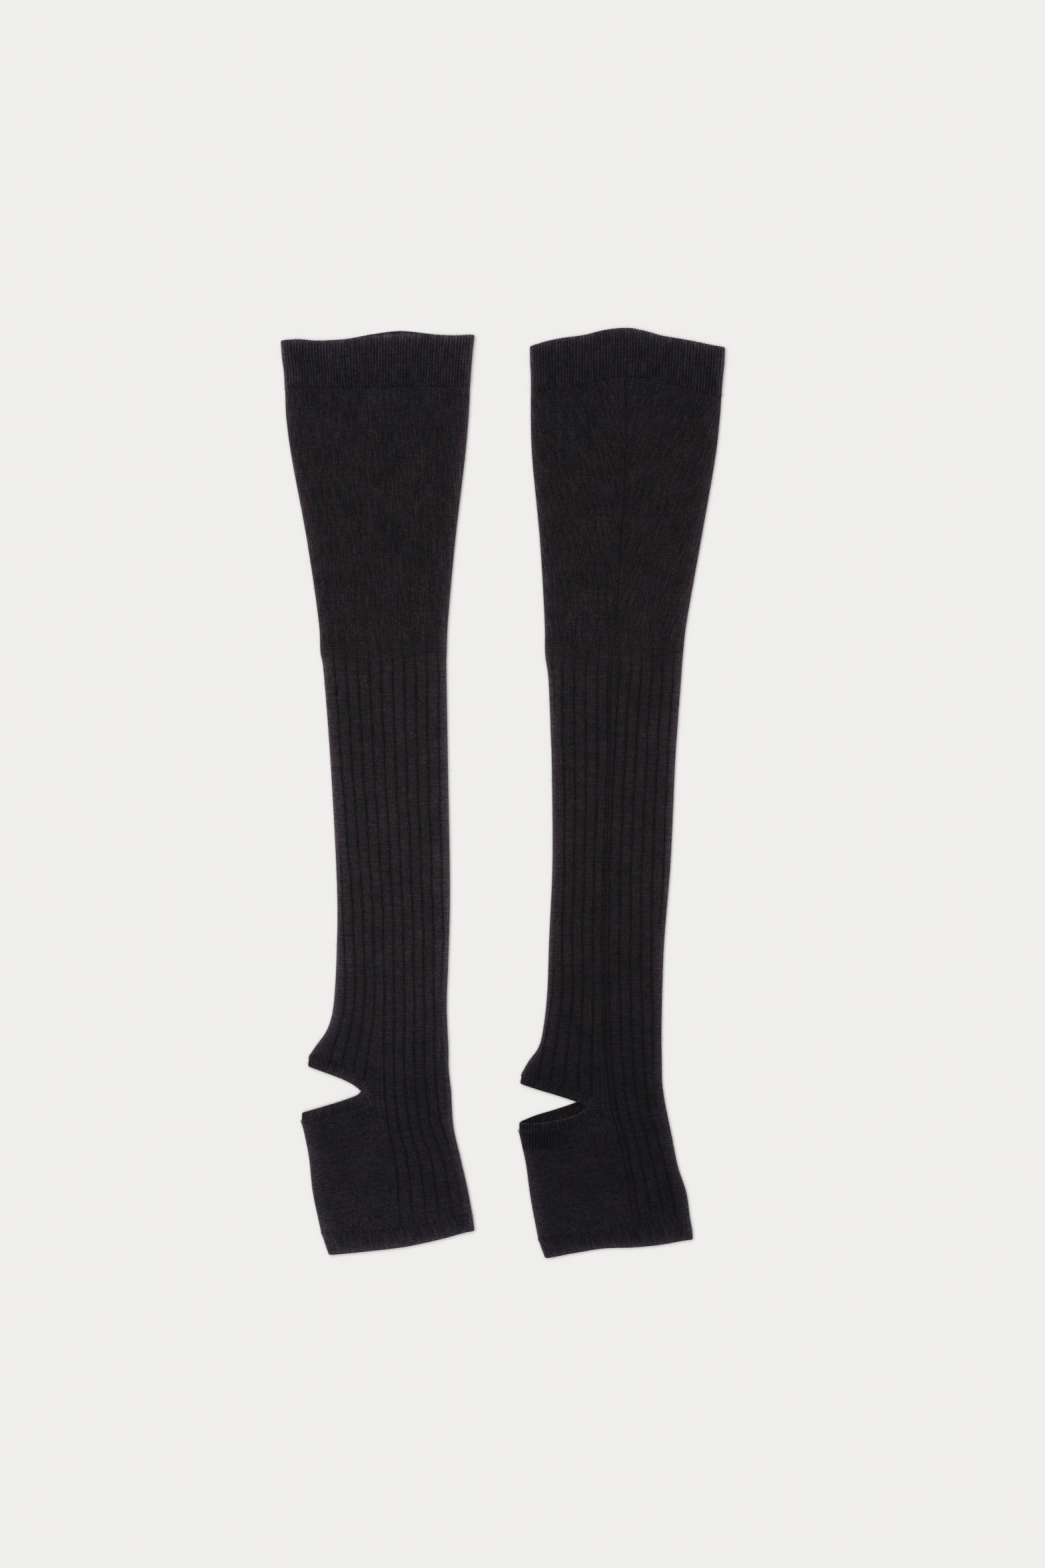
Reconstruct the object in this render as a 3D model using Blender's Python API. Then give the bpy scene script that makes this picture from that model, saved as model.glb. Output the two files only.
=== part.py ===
"""A pair of knee-high stirrup socks in black wool knit, laid flat side by side.

Each sock is made of four pieces: the leg and foot tube with its wide ribs, the double
welt at the top, the band that binds the open heel, and the hem at the open toe. Every
piece is a flattened tube of cloth: a near layer on top, a far layer that rests on the
surface, and a fold along each side.

The tables are in millimetres: x is measured from the sock's own axis and height from
the lower end of the pair. The meshes are in metres, in the frame of the whole pair.
"""

import math
from collections import namedtuple

import bmesh
import bpy

MM = 0.001

# The cloth
WALL = 1.4              # plain and ribbed knit
WELT_WALL = 2.0         # the welt is knitted double
BAND_WALL = 1.7         # heel band and toe hem
SEAM_GAP = 0.4          # between two pieces along a seam
SLIT_GAP = 0.62         # round the heel, where points on the two pieces alternate
LAYER_GAP = 0.7         # between near and far layer, away from the folds
FOLD_GAP = 1.4          # the same beside a fold, where the knit springs open
FOLD_FADE = 4.0         # how far from a fold that extra height dies away

# The wide ribs
GROOVE_DEPTH = 0.6
GROOVE_HALF = 0.9       # from the groove's bottom to the flat of the rib
SEAM_DEPTH = 0.3        # depth of the back seam's grooves above the ribs
ROLL_INSET = 3.7        # the last groove before a fold stays this far from it
ROLL_PITCH = 2.1        # between grooves that crowd there, for the ribs roll round the fold
ROLL_FADE = 2.0         # how fast such a groove closes
ROLL_HALF = 0.7         # half width of the grooves right of the mid line
CLOSE_GROOVES = 2       # grooves next to the notch's tip with points on the inside too

# The fine ribs of the welt
WELT_RIBS = 62          # across one layer
WELT_GROOVE = 0.4       # depth of the grooves between them

# The heel band
BAND_WIDTH = 7.0
APEX_ROUND = 0.8        # radius of the notch at its point
TIP_TURNS = 4           # steps of the band round that point, for each side
TIP_COLUMNS = 4         # plain columns between the last groove and the notch's tip
NOTCH_STEPS = 3         # points along the notch for each row of its table

# Points
ROW_STEP = 32.0         # longest distance between two rows
WELT_ROWS = 3
WELT_SPARSE = 4         # of the near columns, each fourth has a point inside and below
HEM_COLUMNS = 24
HEM_ROWS = 3
HEM_SPARSE = 2
FAR_LEFT = (0.12, 0.24, 0.36, 0.48, 0.6, 0.7, 0.78, 0.84, 0.9, 0.95, 1.0)
FAR_RIGHT = (0.12, 0.25, 0.38, 0.5, 0.62, 0.75, 0.88, 1.0)

LEFT_AXIS = -77.0       # places of the two socks across the pair
RIGHT_AXIS = 71.0

KNIT_COLOUR = (0.014, 0.013, 0.016, 1.0)
KNIT_ROUGHNESS = 0.95
SHARP_ANGLE = math.radians(50.0)

Section = namedtuple(
    "Section", "left left_y mid mid_y right right_y seam pitch right_pitch ribs heel"
)
Edge = namedtuple("Edge", "x y")
Side = namedtuple("Side", "left right")
Crease = namedtuple("Crease", "x y length width turn height")
Groove = namedtuple("Groove", "x share")
Column = namedtuple("Column", "x depth inner")
Row = namedtuple("Row", "near far left right")
BandPoint = namedtuple("BandPoint", "which place out_reach out_z in_reach in_z")
BandCorner = namedtuple("BandCorner", "offset lift outside")
Sock = namedtuple(
    "Sock",
    "name axis left_grooves right_grooves heel_share has_seam leg foot near_upper near_lower "
    "far_upper far_lower welt_sides welt_near welt_far welt_seam toe_seam toe_edge "
    "toe_sides creases",
)

NOTCH_EDGES = ("near_upper", "far_upper", "far_lower", "near_lower")

# Section of the heel band: distance from the notch's edge, lift on the near layer, and
# whether the point is on the outside
BAND_SECTION = (
    BandCorner(0.0, -0.5, True),
    BandCorner(0.9, 0.0, True),
    BandCorner(BAND_WIDTH / 2.0, 0.1, True),
    BandCorner(BAND_WIDTH, 0.0, True),
    BandCorner(BAND_WIDTH, 0.0, False),
    BandCorner(0.0, 0.0, False),
)

# Sections of the leg and the foot: the left edge, the mid line and the right edge, each
# as x and height, the width of the rib that carries the back seam, the pitch of the ribs
# left and right of the mid line, and the strength of the ribs and of the heel's curve.
# The last section of a leg and the first of its foot meet the heel opening.
LEFT_LEG = [
    Section(-67.4, 577.3, -18.0, 578.0, 55.3, 578.6, 0.0, 10.6, 10.8, 0.0, 0.0),
    Section(-66.6, 557.0, -17.8, 557.0, 54.2, 557.0, 0.0, 10.5, 10.6, 0.0, 0.0),
    Section(-62.8, 529.5, -17.2, 529.5, 51.7, 529.5, 0.0, 9.8, 10.2, 0.0, 0.0),
    Section(-53.0, 476.5, -15.4, 476.5, 45.5, 476.5, 0.0, 8.4, 9.0, 0.0, 0.0),
    Section(-45.3, 424.0, -13.0, 424.0, 40.7, 424.0, 0.0, 7.7, 7.8, 0.1, 0.0),
    Section(-44.0, 402.0, -12.0, 402.0, 39.8, 402.0, 0.0, 7.7, 7.7, 0.5, 0.0),
    Section(-41.8, 388.0, -11.1, 388.0, 39.6, 388.0, 0.0, 7.6, 7.6, 1.0, 0.0),
    Section(-37.1, 326.0, -8.2, 326.0, 40.6, 326.0, 0.0, 7.2, 7.2, 1.0, 0.0),
    Section(-33.0, 246.5, -3.3, 246.5, 41.9, 246.5, 0.0, 6.7, 6.7, 1.0, 0.0),
    Section(-33.2, 202.5, -1.7, 202.5, 41.0, 202.5, 0.0, 6.5, 6.6, 1.0, 0.0),
    Section(-34.9, 171.5, -1.5, 171.5, 39.8, 171.5, 0.0, 6.5, 6.6, 1.0, 0.0),
    Section(-37.1, 158.2, -1.5, 153.4, 40.2, 153.4, 0.0, 6.7, 6.7, 1.0, 0.15),
    Section(-40.7, 149.4, -1.7, 139.7, 40.9, 139.2, 0.0, 6.7, 6.7, 1.0, 0.4),
    Section(-46.4, 141.4, -1.7, 126.0, 41.1, 125.1, 0.0, 6.8, 6.8, 1.0, 0.7),
    Section(-51.2, 134.6, -1.3, 110.9, 42.7, 110.9, 0.0, 6.9, 6.9, 1.0, 1.0),
]
LEFT_FOOT = [
    Section(-56.3, 89.0, -1.3, 110.9, 42.7, 110.9, 0.0, 6.9, 6.9, 1.0, 1.0),
    Section(-54.3, 80.9, 1.3, 87.5, 44.2, 87.5, 0.0, 7.1, 7.1, 1.0, 0.5),
    Section(-51.4, 65.4, 5.3, 67.6, 48.6, 67.6, 0.0, 7.6, 7.9, 1.0, 0.15),
    Section(-49.0, 43.3, 7.5, 46.4, 53.5, 46.4, 0.0, 8.3, 8.4, 1.0, 0.0),
    Section(-43.4, 16.8, 9.7, 19.4, 56.8, 28.7, 0.0, 8.6, 8.6, 0.6, 0.0),
]
RIGHT_LEG = [
    Section(-52.3, 576.1, 10.2, 584.8, 74.0, 571.5, 2.4, 10.8, 10.4, 0.0, 0.0),
    Section(-52.4, 557.0, 10.7, 557.0, 73.0, 557.0, 2.4, 10.8, 10.3, 0.0, 0.0),
    Section(-51.4, 529.5, 10.6, 529.5, 69.8, 529.5, 2.4, 10.6, 10.0, 0.0, 0.0),
    Section(-46.4, 476.5, 7.6, 476.5, 60.6, 476.5, 2.4, 9.4, 8.9, 0.0, 0.0),
    Section(-43.3, 424.0, 4.3, 424.0, 51.3, 424.0, 2.8, 8.0, 7.6, 0.1, 0.0),
    Section(-42.9, 401.0, 3.7, 401.0, 48.6, 401.0, 6.4, 7.7, 7.2, 0.5, 0.0),
    Section(-40.7, 384.0, 3.1, 384.0, 47.3, 384.0, 6.6, 7.7, 7.1, 1.0, 0.0),
    Section(-39.2, 348.0, 1.6, 348.0, 44.6, 348.0, 4.8, 7.6, 7.1, 1.0, 0.0),
    Section(-38.5, 326.0, 1.1, 326.0, 43.2, 326.0, 3.5, 7.4, 7.1, 1.0, 0.0),
    Section(-38.0, 264.0, -1.5, 264.0, 40.4, 264.0, 3.5, 6.7, 7.1, 1.0, 0.0),
    Section(-40.2, 211.5, -2.4, 211.5, 36.2, 211.5, 3.8, 6.8, 7.1, 1.0, 0.0),
    Section(-41.5, 176.0, -2.0, 176.0, 34.8, 176.0, 3.5, 6.9, 7.1, 1.0, 0.0),
    Section(-44.2, 151.6, -1.2, 149.4, 34.3, 149.4, 3.7, 7.3, 7.1, 1.0, 0.15),
    Section(-47.3, 139.7, -0.4, 131.7, 34.5, 131.7, 3.7, 7.3, 7.1, 1.0, 0.4),
    Section(-53.9, 130.4, 0.9, 115.8, 34.9, 114.9, 3.6, 7.2, 7.1, 1.0, 0.7),
    Section(-58.0, 123.2, 2.7, 100.3, 37.1, 100.3, 3.6, 7.2, 7.1, 1.0, 1.0),
]
RIGHT_FOOT = [
    Section(-60.0, 82.6, 2.7, 100.3, 37.1, 100.3, 3.6, 7.2, 7.1, 1.0, 1.0),
    Section(-58.0, 73.4, 8.0, 80.9, 41.1, 80.9, 3.6, 7.2, 7.3, 1.0, 0.5),
    Section(-55.4, 61.0, 11.5, 63.2, 45.1, 61.0, 3.8, 7.4, 7.8, 1.0, 0.15),
    Section(-52.4, 38.9, 15.0, 43.3, 50.8, 43.3, 4.2, 7.8, 8.0, 1.0, 0.0),
    Section(-47.4, 12.4, 18.6, 22.3, 53.2, 26.1, 4.2, 8.0, 8.0, 0.6, 0.0),
]

LEFT_SOCK = Sock(
    name="left_sock",
    axis=LEFT_AXIS,
    left_grooves=4,
    right_grooves=6,
    heel_share=(0.29, 0.46, 0.64, 0.82),
    has_seam=False,
    leg=LEFT_LEG,
    foot=LEFT_FOOT,
    near_upper=[Edge(-52.3, 127.3), Edge(-45.1, 124.6), Edge(-30.9, 119.3), Edge(-22.1, 114.9),
                Edge(-17.0, 110.7)],
    near_lower=[Edge(-56.2, 96.4), Edge(-44.2, 99.9), Edge(-30.9, 103.9), Edge(-20.3, 107.8),
                Edge(-17.0, 110.7)],
    far_upper=[Edge(-52.3, 127.3), Edge(-45.1, 125.2), Edge(-30.9, 120.1), Edge(-22.1, 115.4),
               Edge(-16.4, 110.9)],
    far_lower=[Edge(-56.2, 96.4), Edge(-44.2, 99.4), Edge(-30.9, 103.1), Edge(-20.3, 107.4),
               Edge(-16.4, 110.9)],
    welt_sides=[Side(-67.6, 55.3), Side(-68.2, 56.1), Side(-69.6, 57.0), Side(-70.3, 58.3)],
    welt_near=[Edge(-70.3, 608.4), Edge(-58.8, 609.1), Edge(-46.4, 608.2), Edge(-26.5, 609.2),
               Edge(-8.8, 611.2), Edge(8.8, 612.2), Edge(26.5, 612.4), Edge(44.2, 611.7),
               Edge(58.3, 612.2)],
    welt_far=[Edge(-70.3, 608.4), Edge(-58.8, 608.6), Edge(-46.4, 607.6), Edge(-26.5, 609.6),
              Edge(-8.8, 612.8), Edge(8.8, 614.8), Edge(26.5, 613.2), Edge(44.2, 611.2),
              Edge(58.3, 612.2)],
    welt_seam=[Edge(-67.6, 577.3), Edge(-35.4, 577.7), Edge(-5.3, 578.1), Edge(26.5, 578.4),
               Edge(55.3, 578.6)],
    toe_seam=[Edge(-43.4, 16.8), Edge(-17.7, 17.7), Edge(9.7, 19.4), Edge(32.7, 23.9),
              Edge(56.8, 28.7)],
    toe_edge=[Edge(-38.4, 2.2), Edge(-13.3, 4.4), Edge(12.4, 7.5), Edge(35.4, 12.4),
              Edge(58.3, 18.1)],
    toe_sides=[Side(-43.4, 56.8), Side(-40.9, 57.6), Side(-38.4, 58.3)],
    creases=[
        Crease(-6.0, 455.0, 60.0, 9.0, 78.0, 0.5),
        Crease(22.0, 352.0, 45.0, 8.0, 95.0, 0.4),
        Crease(-36.0, 79.0, 24.0, 4.0, 14.0, 0.5),
        Crease(-14.0, 60.0, 34.0, 7.0, 20.0, -0.35),
        Crease(12.0, 116.0, 22.0, 5.0, 75.0, 0.4),
    ],
)

RIGHT_SOCK = Sock(
    name="right_sock",
    axis=RIGHT_AXIS,
    left_grooves=5,
    right_grooves=5,
    heel_share=(0.2, 0.34, 0.5, 0.67, 0.84),
    has_seam=True,
    leg=RIGHT_LEG,
    foot=RIGHT_FOOT,
    near_upper=[Edge(-59.5, 115.8), Edge(-49.5, 112.3), Edge(-37.6, 108.7), Edge(-27.8, 105.6),
                Edge(-19.4, 102.7), Edge(-14.1, 100.3)],
    near_lower=[Edge(-60.0, 90.0), Edge(-49.5, 89.6), Edge(-36.7, 91.3), Edge(-27.8, 93.3),
                Edge(-21.2, 95.9), Edge(-14.1, 100.3)],
    far_upper=[Edge(-59.5, 115.8), Edge(-49.5, 112.8), Edge(-37.6, 109.6), Edge(-27.8, 106.9),
               Edge(-20.5, 103.9)],
    far_lower=[Edge(-60.0, 90.0), Edge(-49.5, 94.4), Edge(-37.6, 98.0), Edge(-27.8, 101.2),
               Edge(-20.5, 103.9)],
    welt_sides=[Side(-52.3, 74.0), Side(-52.4, 74.9), Side(-52.9, 76.0), Side(-53.0, 76.5)],
    welt_near=[Edge(-53.0, 604.7), Edge(-42.0, 607.8), Edge(-31.4, 610.0), Edge(-17.2, 611.9),
               Edge(-3.1, 615.3), Edge(11.1, 616.6), Edge(20.3, 615.3), Edge(34.5, 611.5),
               Edge(53.5, 608.2), Edge(76.5, 603.9)],
    welt_far=[Edge(-53.0, 604.7), Edge(-42.0, 606.8), Edge(-31.4, 608.6), Edge(-17.2, 610.4),
              Edge(-3.1, 612.4), Edge(11.1, 613.4), Edge(20.3, 612.6), Edge(34.5, 609.8),
              Edge(53.5, 607.0), Edge(76.5, 603.9)],
    welt_seam=[Edge(-52.3, 576.1), Edge(-37.6, 576.8), Edge(-22.1, 578.6), Edge(-3.1, 583.2),
               Edge(10.2, 584.8), Edge(20.3, 584.3), Edge(34.5, 581.7), Edge(53.5, 576.6),
               Edge(74.0, 571.5)],
    toe_seam=[Edge(-47.4, 12.4), Edge(-24.3, 15.0), Edge(-4.4, 18.6), Edge(17.7, 22.1),
              Edge(35.4, 24.3), Edge(53.2, 26.1)],
    toe_edge=[Edge(-42.9, 0.0), Edge(-25.2, 3.1), Edge(-4.0, 6.4), Edge(15.0, 7.1),
              Edge(33.1, 8.8), Edge(55.2, 12.4)],
    toe_sides=[Side(-47.4, 53.2), Side(-45.2, 54.6), Side(-42.9, 55.2)],
    creases=[
        Crease(-43.0, 76.0, 22.0, 2.6, 4.0, 0.8),
        Crease(-42.0, 70.0, 24.0, 2.6, 6.0, -0.45),
        Crease(-36.0, 64.0, 26.0, 3.4, 8.0, 0.5),
        Crease(18.0, 470.0, 55.0, 9.0, 100.0, 0.4),
        Crease(-20.0, 340.0, 50.0, 8.0, 85.0, 0.4),
        Crease(14.0, 92.0, 24.0, 5.0, 70.0, 0.35),
    ],
)


def smoothstep(value):
    value = min(1.0, max(0.0, value))
    return value * value * (3.0 - 2.0 * value)


def mix(start, end, share):
    return start + (end - start) * share


def catmull(before, start, end, after, share):
    """A smooth value between start and end, given the values on either side."""
    return 0.5 * (
        2.0 * start
        + (end - before) * share
        + (2.0 * before - 5.0 * start + 4.0 * end - after) * share ** 2
        + (3.0 * start - before - 3.0 * end + after) * share ** 3
    )


def curve_at(edges, x):
    """Height of a smooth curve through the edges at x."""
    last = len(edges) - 2
    index = 0
    while index < last and x > edges[index + 1].x:
        index += 1
    start, end = edges[index], edges[index + 1]
    share = min(1.0, max(0.0, (x - start.x) / (end.x - start.x)))
    before = edges[max(index - 1, 0)].y
    after = edges[min(index + 2, len(edges) - 1)].y
    return catmull(before, start.y, end.y, after, share)


def rows_between(sections):
    """The sections with smooth ones added, so that none are more than ROW_STEP apart."""
    rows = []
    for index in range(len(sections) - 1):
        start, end = sections[index], sections[index + 1]
        before = sections[max(index - 1, 0)]
        after = sections[min(index + 2, len(sections) - 1)]
        steps = max(1, math.ceil((start.right_y - end.right_y) / ROW_STEP))
        for step in range(steps):
            share = step / steps
            rows.append(Section(*(
                catmull(b, s, e, a, share) for b, s, e, a in zip(before, start, end, after)
            )))
    rows.append(sections[-1])
    return rows


def crease_height(sock, x, y):
    """Soft ridges and troughs of the near layer."""
    total = 0.0
    for crease in sock.creases:
        turn = math.radians(crease.turn)
        dx, dy = x - crease.x, y - crease.y
        along = dx * math.cos(turn) + dy * math.sin(turn)
        across = dy * math.cos(turn) - dx * math.sin(turn)
        total += crease.height * math.exp(
            -(2.0 * along / crease.length) ** 2 - (across / crease.width) ** 2
        )
    return total


def near_height(wall, distance):
    """Height of the near layer's outer face at a distance from the nearer fold."""
    beyond = max(0.0, distance - fold_radius(wall))
    return 2.0 * wall + LAYER_GAP + (FOLD_GAP - LAYER_GAP) * math.exp(-beyond / FOLD_FADE)


def fold_radius(wall):
    return wall + FOLD_GAP / 2.0


def groove_places(sock, section):
    """Grooves across a section, left of the mid line and right of it.

    A groove that would lie past a fold stays beside it and closes.
    """
    left, right = [], []
    for step in range(sock.left_grooves, 0, -1):
        free = section.mid - section.seam / 2.0 - section.pitch * step
        limit = section.left + ROLL_INSET + ROLL_PITCH * (sock.left_grooves - step)
        left.append(open_groove(max(free, limit), limit - free, section.pitch))
    for step in range(1, sock.right_grooves + 1):
        free = section.mid + section.seam / 2.0 + section.right_pitch * step
        limit = section.right - ROLL_INSET - ROLL_PITCH * (sock.right_grooves - step)
        right.append(open_groove(min(free, limit), free - limit, section.right_pitch))
    return left, right


def open_groove(place, beyond, pitch):
    """A groove that is the more closed the further it would lie beyond its limit."""
    return Groove(place, smoothstep(1.0 - ROLL_FADE * max(0.0, beyond) / pitch))


def near_columns(sock, section):
    """The near layer's columns of points, left to right: a groove has three of them."""
    left, right = groove_places(sock, section)
    mids, half = [section.mid], GROOVE_HALF
    if sock.has_seam:
        mids = [section.mid - section.seam / 2.0, section.mid + section.seam / 2.0]
        half = min(GROOVE_HALF, section.seam / 4.0)
    radius = fold_radius(WALL)
    columns = [Column(section.left + radius, 0.0, True)]
    groove = GROOVE_DEPTH * section.ribs
    depth = groove if section.left_y >= sock.leg[-1].left_y else 0.0
    for index, (place, share) in enumerate(left):
        close = index >= len(left) - CLOSE_GROOVES
        columns += groove_columns(place, depth * share, True, dense=close)
    last = columns[-1].x
    for step in range(1, TIP_COLUMNS + 1):
        share = step / (TIP_COLUMNS + 1)
        columns.append(Column(mix(last, mids[0] - GROOVE_HALF, share), 0.0, True))
    depth = max(groove, SEAM_DEPTH) if sock.has_seam else groove
    for place in mids:
        columns += groove_columns(place, depth, place == mids[0], half)
    for place, share in right:
        columns += groove_columns(place, groove * share, True, ROLL_HALF)
    columns.append(Column(section.right - radius, 0.0, True))
    return columns


def groove_columns(place, depth, inner, half=GROOVE_HALF, dense=False):
    """A groove's bottom and the flats beside it; inner says where the inside has points."""
    return [
        Column(place - half, 0.0, dense),
        Column(place, depth, inner),
        Column(place + half, 0.0, dense),
    ]


def tip_column(sock):
    """Index of the near column that ends at the notch's tip."""
    return 3 * sock.left_grooves + TIP_COLUMNS


def section_height(section, x):
    """Height of a section's line at x: straight from side to mid line to side."""
    if x < section.mid:
        share = (x - section.left) / (section.mid - section.left)
        return mix(section.left_y, section.mid_y, share)
    share = (x - section.mid) / (section.right - section.mid)
    return mix(section.mid_y, section.right_y, share)


def smooth_run(edges, steps):
    """A smooth run of points through the edges, with steps of them to each stretch."""
    points = []
    for index in range(len(edges) - 1):
        start, end = edges[index], edges[index + 1]
        before = edges[max(index - 1, 0)]
        after = edges[min(index + 2, len(edges) - 1)]
        for step in range(steps):
            share = step / steps
            points.append(Edge(catmull(before.x, start.x, end.x, after.x, share),
                               catmull(before.y, start.y, end.y, after.y, share)))
    points.append(edges[-1])
    return points


def notch_points(edges, offset, corner_shift, upper):
    """One edge of the notch from the left fold to its tip, moved outward by offset.

    corner_shift moves the first point, so that it stays on the sock's left fold.
    """
    points = []
    sign = 1.0 if upper else -1.0
    centre = Edge(edges[-1].x - APEX_ROUND, edges[-1].y)
    fine = smooth_run(edges, NOTCH_STEPS)
    run = fine[:-1]
    angle = 0.0
    for index, edge in enumerate(run):
        back = run[max(index - 1, 0)]
        ahead = fine[index + 1]
        angle = math.atan2(ahead.y - back.y, ahead.x - back.x) + sign * math.pi / 2.0
        points.append(Edge(edge.x + offset * math.cos(angle), edge.y + offset * math.sin(angle)))
    points[0] = Edge(run[0].x + corner_shift[0], run[0].y + corner_shift[1])
    for turn in range(1, TIP_TURNS + 1):
        step_angle = angle * (1.0 - turn / TIP_TURNS)
        reach = APEX_ROUND + offset
        points.append(Edge(centre.x + reach * math.cos(step_angle),
                           centre.y + reach * math.sin(step_angle)))
    return points


def notch_edge(sock, which, offset):
    """An edge of the notch, near or far and upper or lower, moved outward by offset."""
    edges = getattr(sock, which)
    upper = which.endswith("upper")
    row = sock.leg[-1] if upper else sock.foot[0]
    share = offset / (BAND_WIDTH + SLIT_GAP)
    shift = ((row.left - edges[0].x) * share, (row.left_y - edges[0].y) * share)
    return notch_points(edges, offset, shift, upper)


def along(points, distance):
    """The point at a distance along a run of points."""
    for start, end in zip(points, points[1:]):
        length = math.hypot(end.x - start.x, end.y - start.y)
        if distance <= length or end is points[-1]:
            share = distance / length
            return Edge(mix(start.x, end.x, share), mix(start.y, end.y, share))
        distance -= length
    return points[-1]


def run_length(points):
    return sum(math.hypot(b.x - a.x, b.y - a.y) for a, b in zip(points, points[1:]))


def slit_shares(sock, length):
    """How far along the notch each near column left of the tip meets it, from 0 to 1."""
    shares = [fold_radius(WALL) / length]
    for share in sock.heel_share:
        shares += [share - GROOVE_HALF / length, share, share + GROOVE_HALF / length]
    last = shares[-1]
    for step in range(1, TIP_COLUMNS + 1):
        shares.append(last + (1.0 - last) * step / TIP_COLUMNS)
    return shares


def moves_to(goals, places, slit_row):
    """How far each place on the slit's section moves to lie on the edge of the notch."""
    return [(goal.x - x, goal.y - section_height(slit_row, x)) for goal, x in zip(goals, places)]


def tube_rows(sock, sections, slit_row, slit_name):
    """Rows of the tube, each with the points of its near and its far layer.

    slit_row is the section that meets the notch, at its upper or its lower edge.
    """
    near_slit = notch_edge(sock, "near_" + slit_name, BAND_WIDTH + SLIT_GAP)
    far_slit = notch_edge(sock, "far_" + slit_name, BAND_WIDTH + SLIT_GAP)
    near_length, far_length = run_length(near_slit), run_length(far_slit)
    base = near_columns(sock, slit_row)
    near_goals = [along(near_slit, near_length * share)
                  for share in slit_shares(sock, near_length)]
    near_moves = moves_to(near_goals, [column.x for column in base], slit_row)
    near_moves += [(0.0, 0.0)] * (len(base) - len(near_moves))
    far_goals = [along(far_slit, far_length * share) for share in FAR_LEFT]
    far_places = [far_left_x(sock, slit_row, share) for share in FAR_LEFT]
    far_moves = moves_to(far_goals, far_places, slit_row)

    rows = []
    for section in sections:
        row = Row(near_points(sock, section, near_moves), far_points(sock, section, far_moves),
                  (section.left, section.left_y), (section.right, section.right_y))
        if section is slit_row:
            row.near[0] = (*along(near_slit, fold_radius(WALL)), row.near[0][2])
            row.far[0] = tuple(along(far_slit, fold_radius(WALL)))
        rows.append(row)
    return rows


def near_points(sock, section, moves):
    """The near layer's points of one row, as x, height along the sock and groove depth."""
    points = []
    for column, move in zip(near_columns(sock, section), moves):
        y = section_height(section, column.x) + move[1] * section.heel
        points.append((column.x + move[0] * section.heel, y, column.depth))
    return points


def far_points(sock, section, moves):
    """The far layer's points of one row, as x and height along the sock."""
    start = section.left + fold_radius(WALL)
    points = [(start, section_height(section, start))]
    for share, move in zip(FAR_LEFT, moves):
        x = far_left_x(sock, section, share)
        y = section_height(section, x) + move[1] * section.heel
        points.append((x + move[0] * section.heel, y))
    tip = far_left_x(sock, section, 1.0)
    for share in FAR_RIGHT:
        x = mix(tip, section.right - fold_radius(WALL), share)
        points.append((x, section_height(section, x)))
    return points


def far_left_x(sock, section, share):
    """Place of a far column left of the notch's tip."""
    tip = near_columns(sock, section)[tip_column(sock)].x
    return mix(section.left + fold_radius(WALL), tip, share)


def level_row(row, height):
    """The row with every point on the curve height(x)."""
    return Row([(x, height(x), depth) for x, _, depth in row.near],
               [(x, height(x)) for x, _ in row.far],
               (row.left[0], height(row.left[0])),
               (row.right[0], height(row.right[0])))


def ring(sock, row, wall, inner_columns):
    """Outer and inner points of one ring, from the left fold over the near layer and back."""
    radius = fold_radius(wall)
    bend = math.sqrt(0.5)
    outer, inner = [], []
    near, far, left, right = row

    def fold_point(side, start, share):
        return mix(side[0], start[0], share), mix(side[1], start[1], share)

    outer.append((*left, radius))
    outer.append((*fold_point(left, near[0], 1.0 - bend), radius * (1.0 + bend)))
    inner.append((*fold_point(left, near[0], wall / radius), radius))
    for index, (x, y, depth) in enumerate(near):
        distance = min(math.hypot(x - left[0], y - left[1]), math.hypot(right[0] - x, right[1] - y))
        soft = crease_height(sock, x, y) * smoothstep((distance - radius) / FOLD_FADE)
        height = near_height(wall, distance) + soft
        outer.append((x, y, height - depth))
        if index in inner_columns:
            inner.append((x, y, height - wall))
    outer.append((*fold_point(right, near[-1], 1.0 - bend), radius * (1.0 + bend)))
    outer.append((*right, radius))
    outer.append((*fold_point(right, far[-1], 1.0 - bend), radius * (1.0 - bend)))
    inner.append((*fold_point(right, far[-1], wall / radius), radius))
    for x, y in reversed(far):
        outer.append((x, y, 0.0))
        inner.append((x, y, wall))
    outer.append((*fold_point(left, far[0], 1.0 - bend), radius * (1.0 - bend)))
    return outer, inner


def inner_anchors(near_count, far_count, inner_columns):
    """For each inner point of a ring, the outer point that it lies under."""
    anchors = [0]
    anchors += [2 + index for index in range(near_count) if index in inner_columns]
    anchors.append(3 + near_count)
    anchors += [5 + near_count + index for index in range(far_count)]
    return anchors


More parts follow.
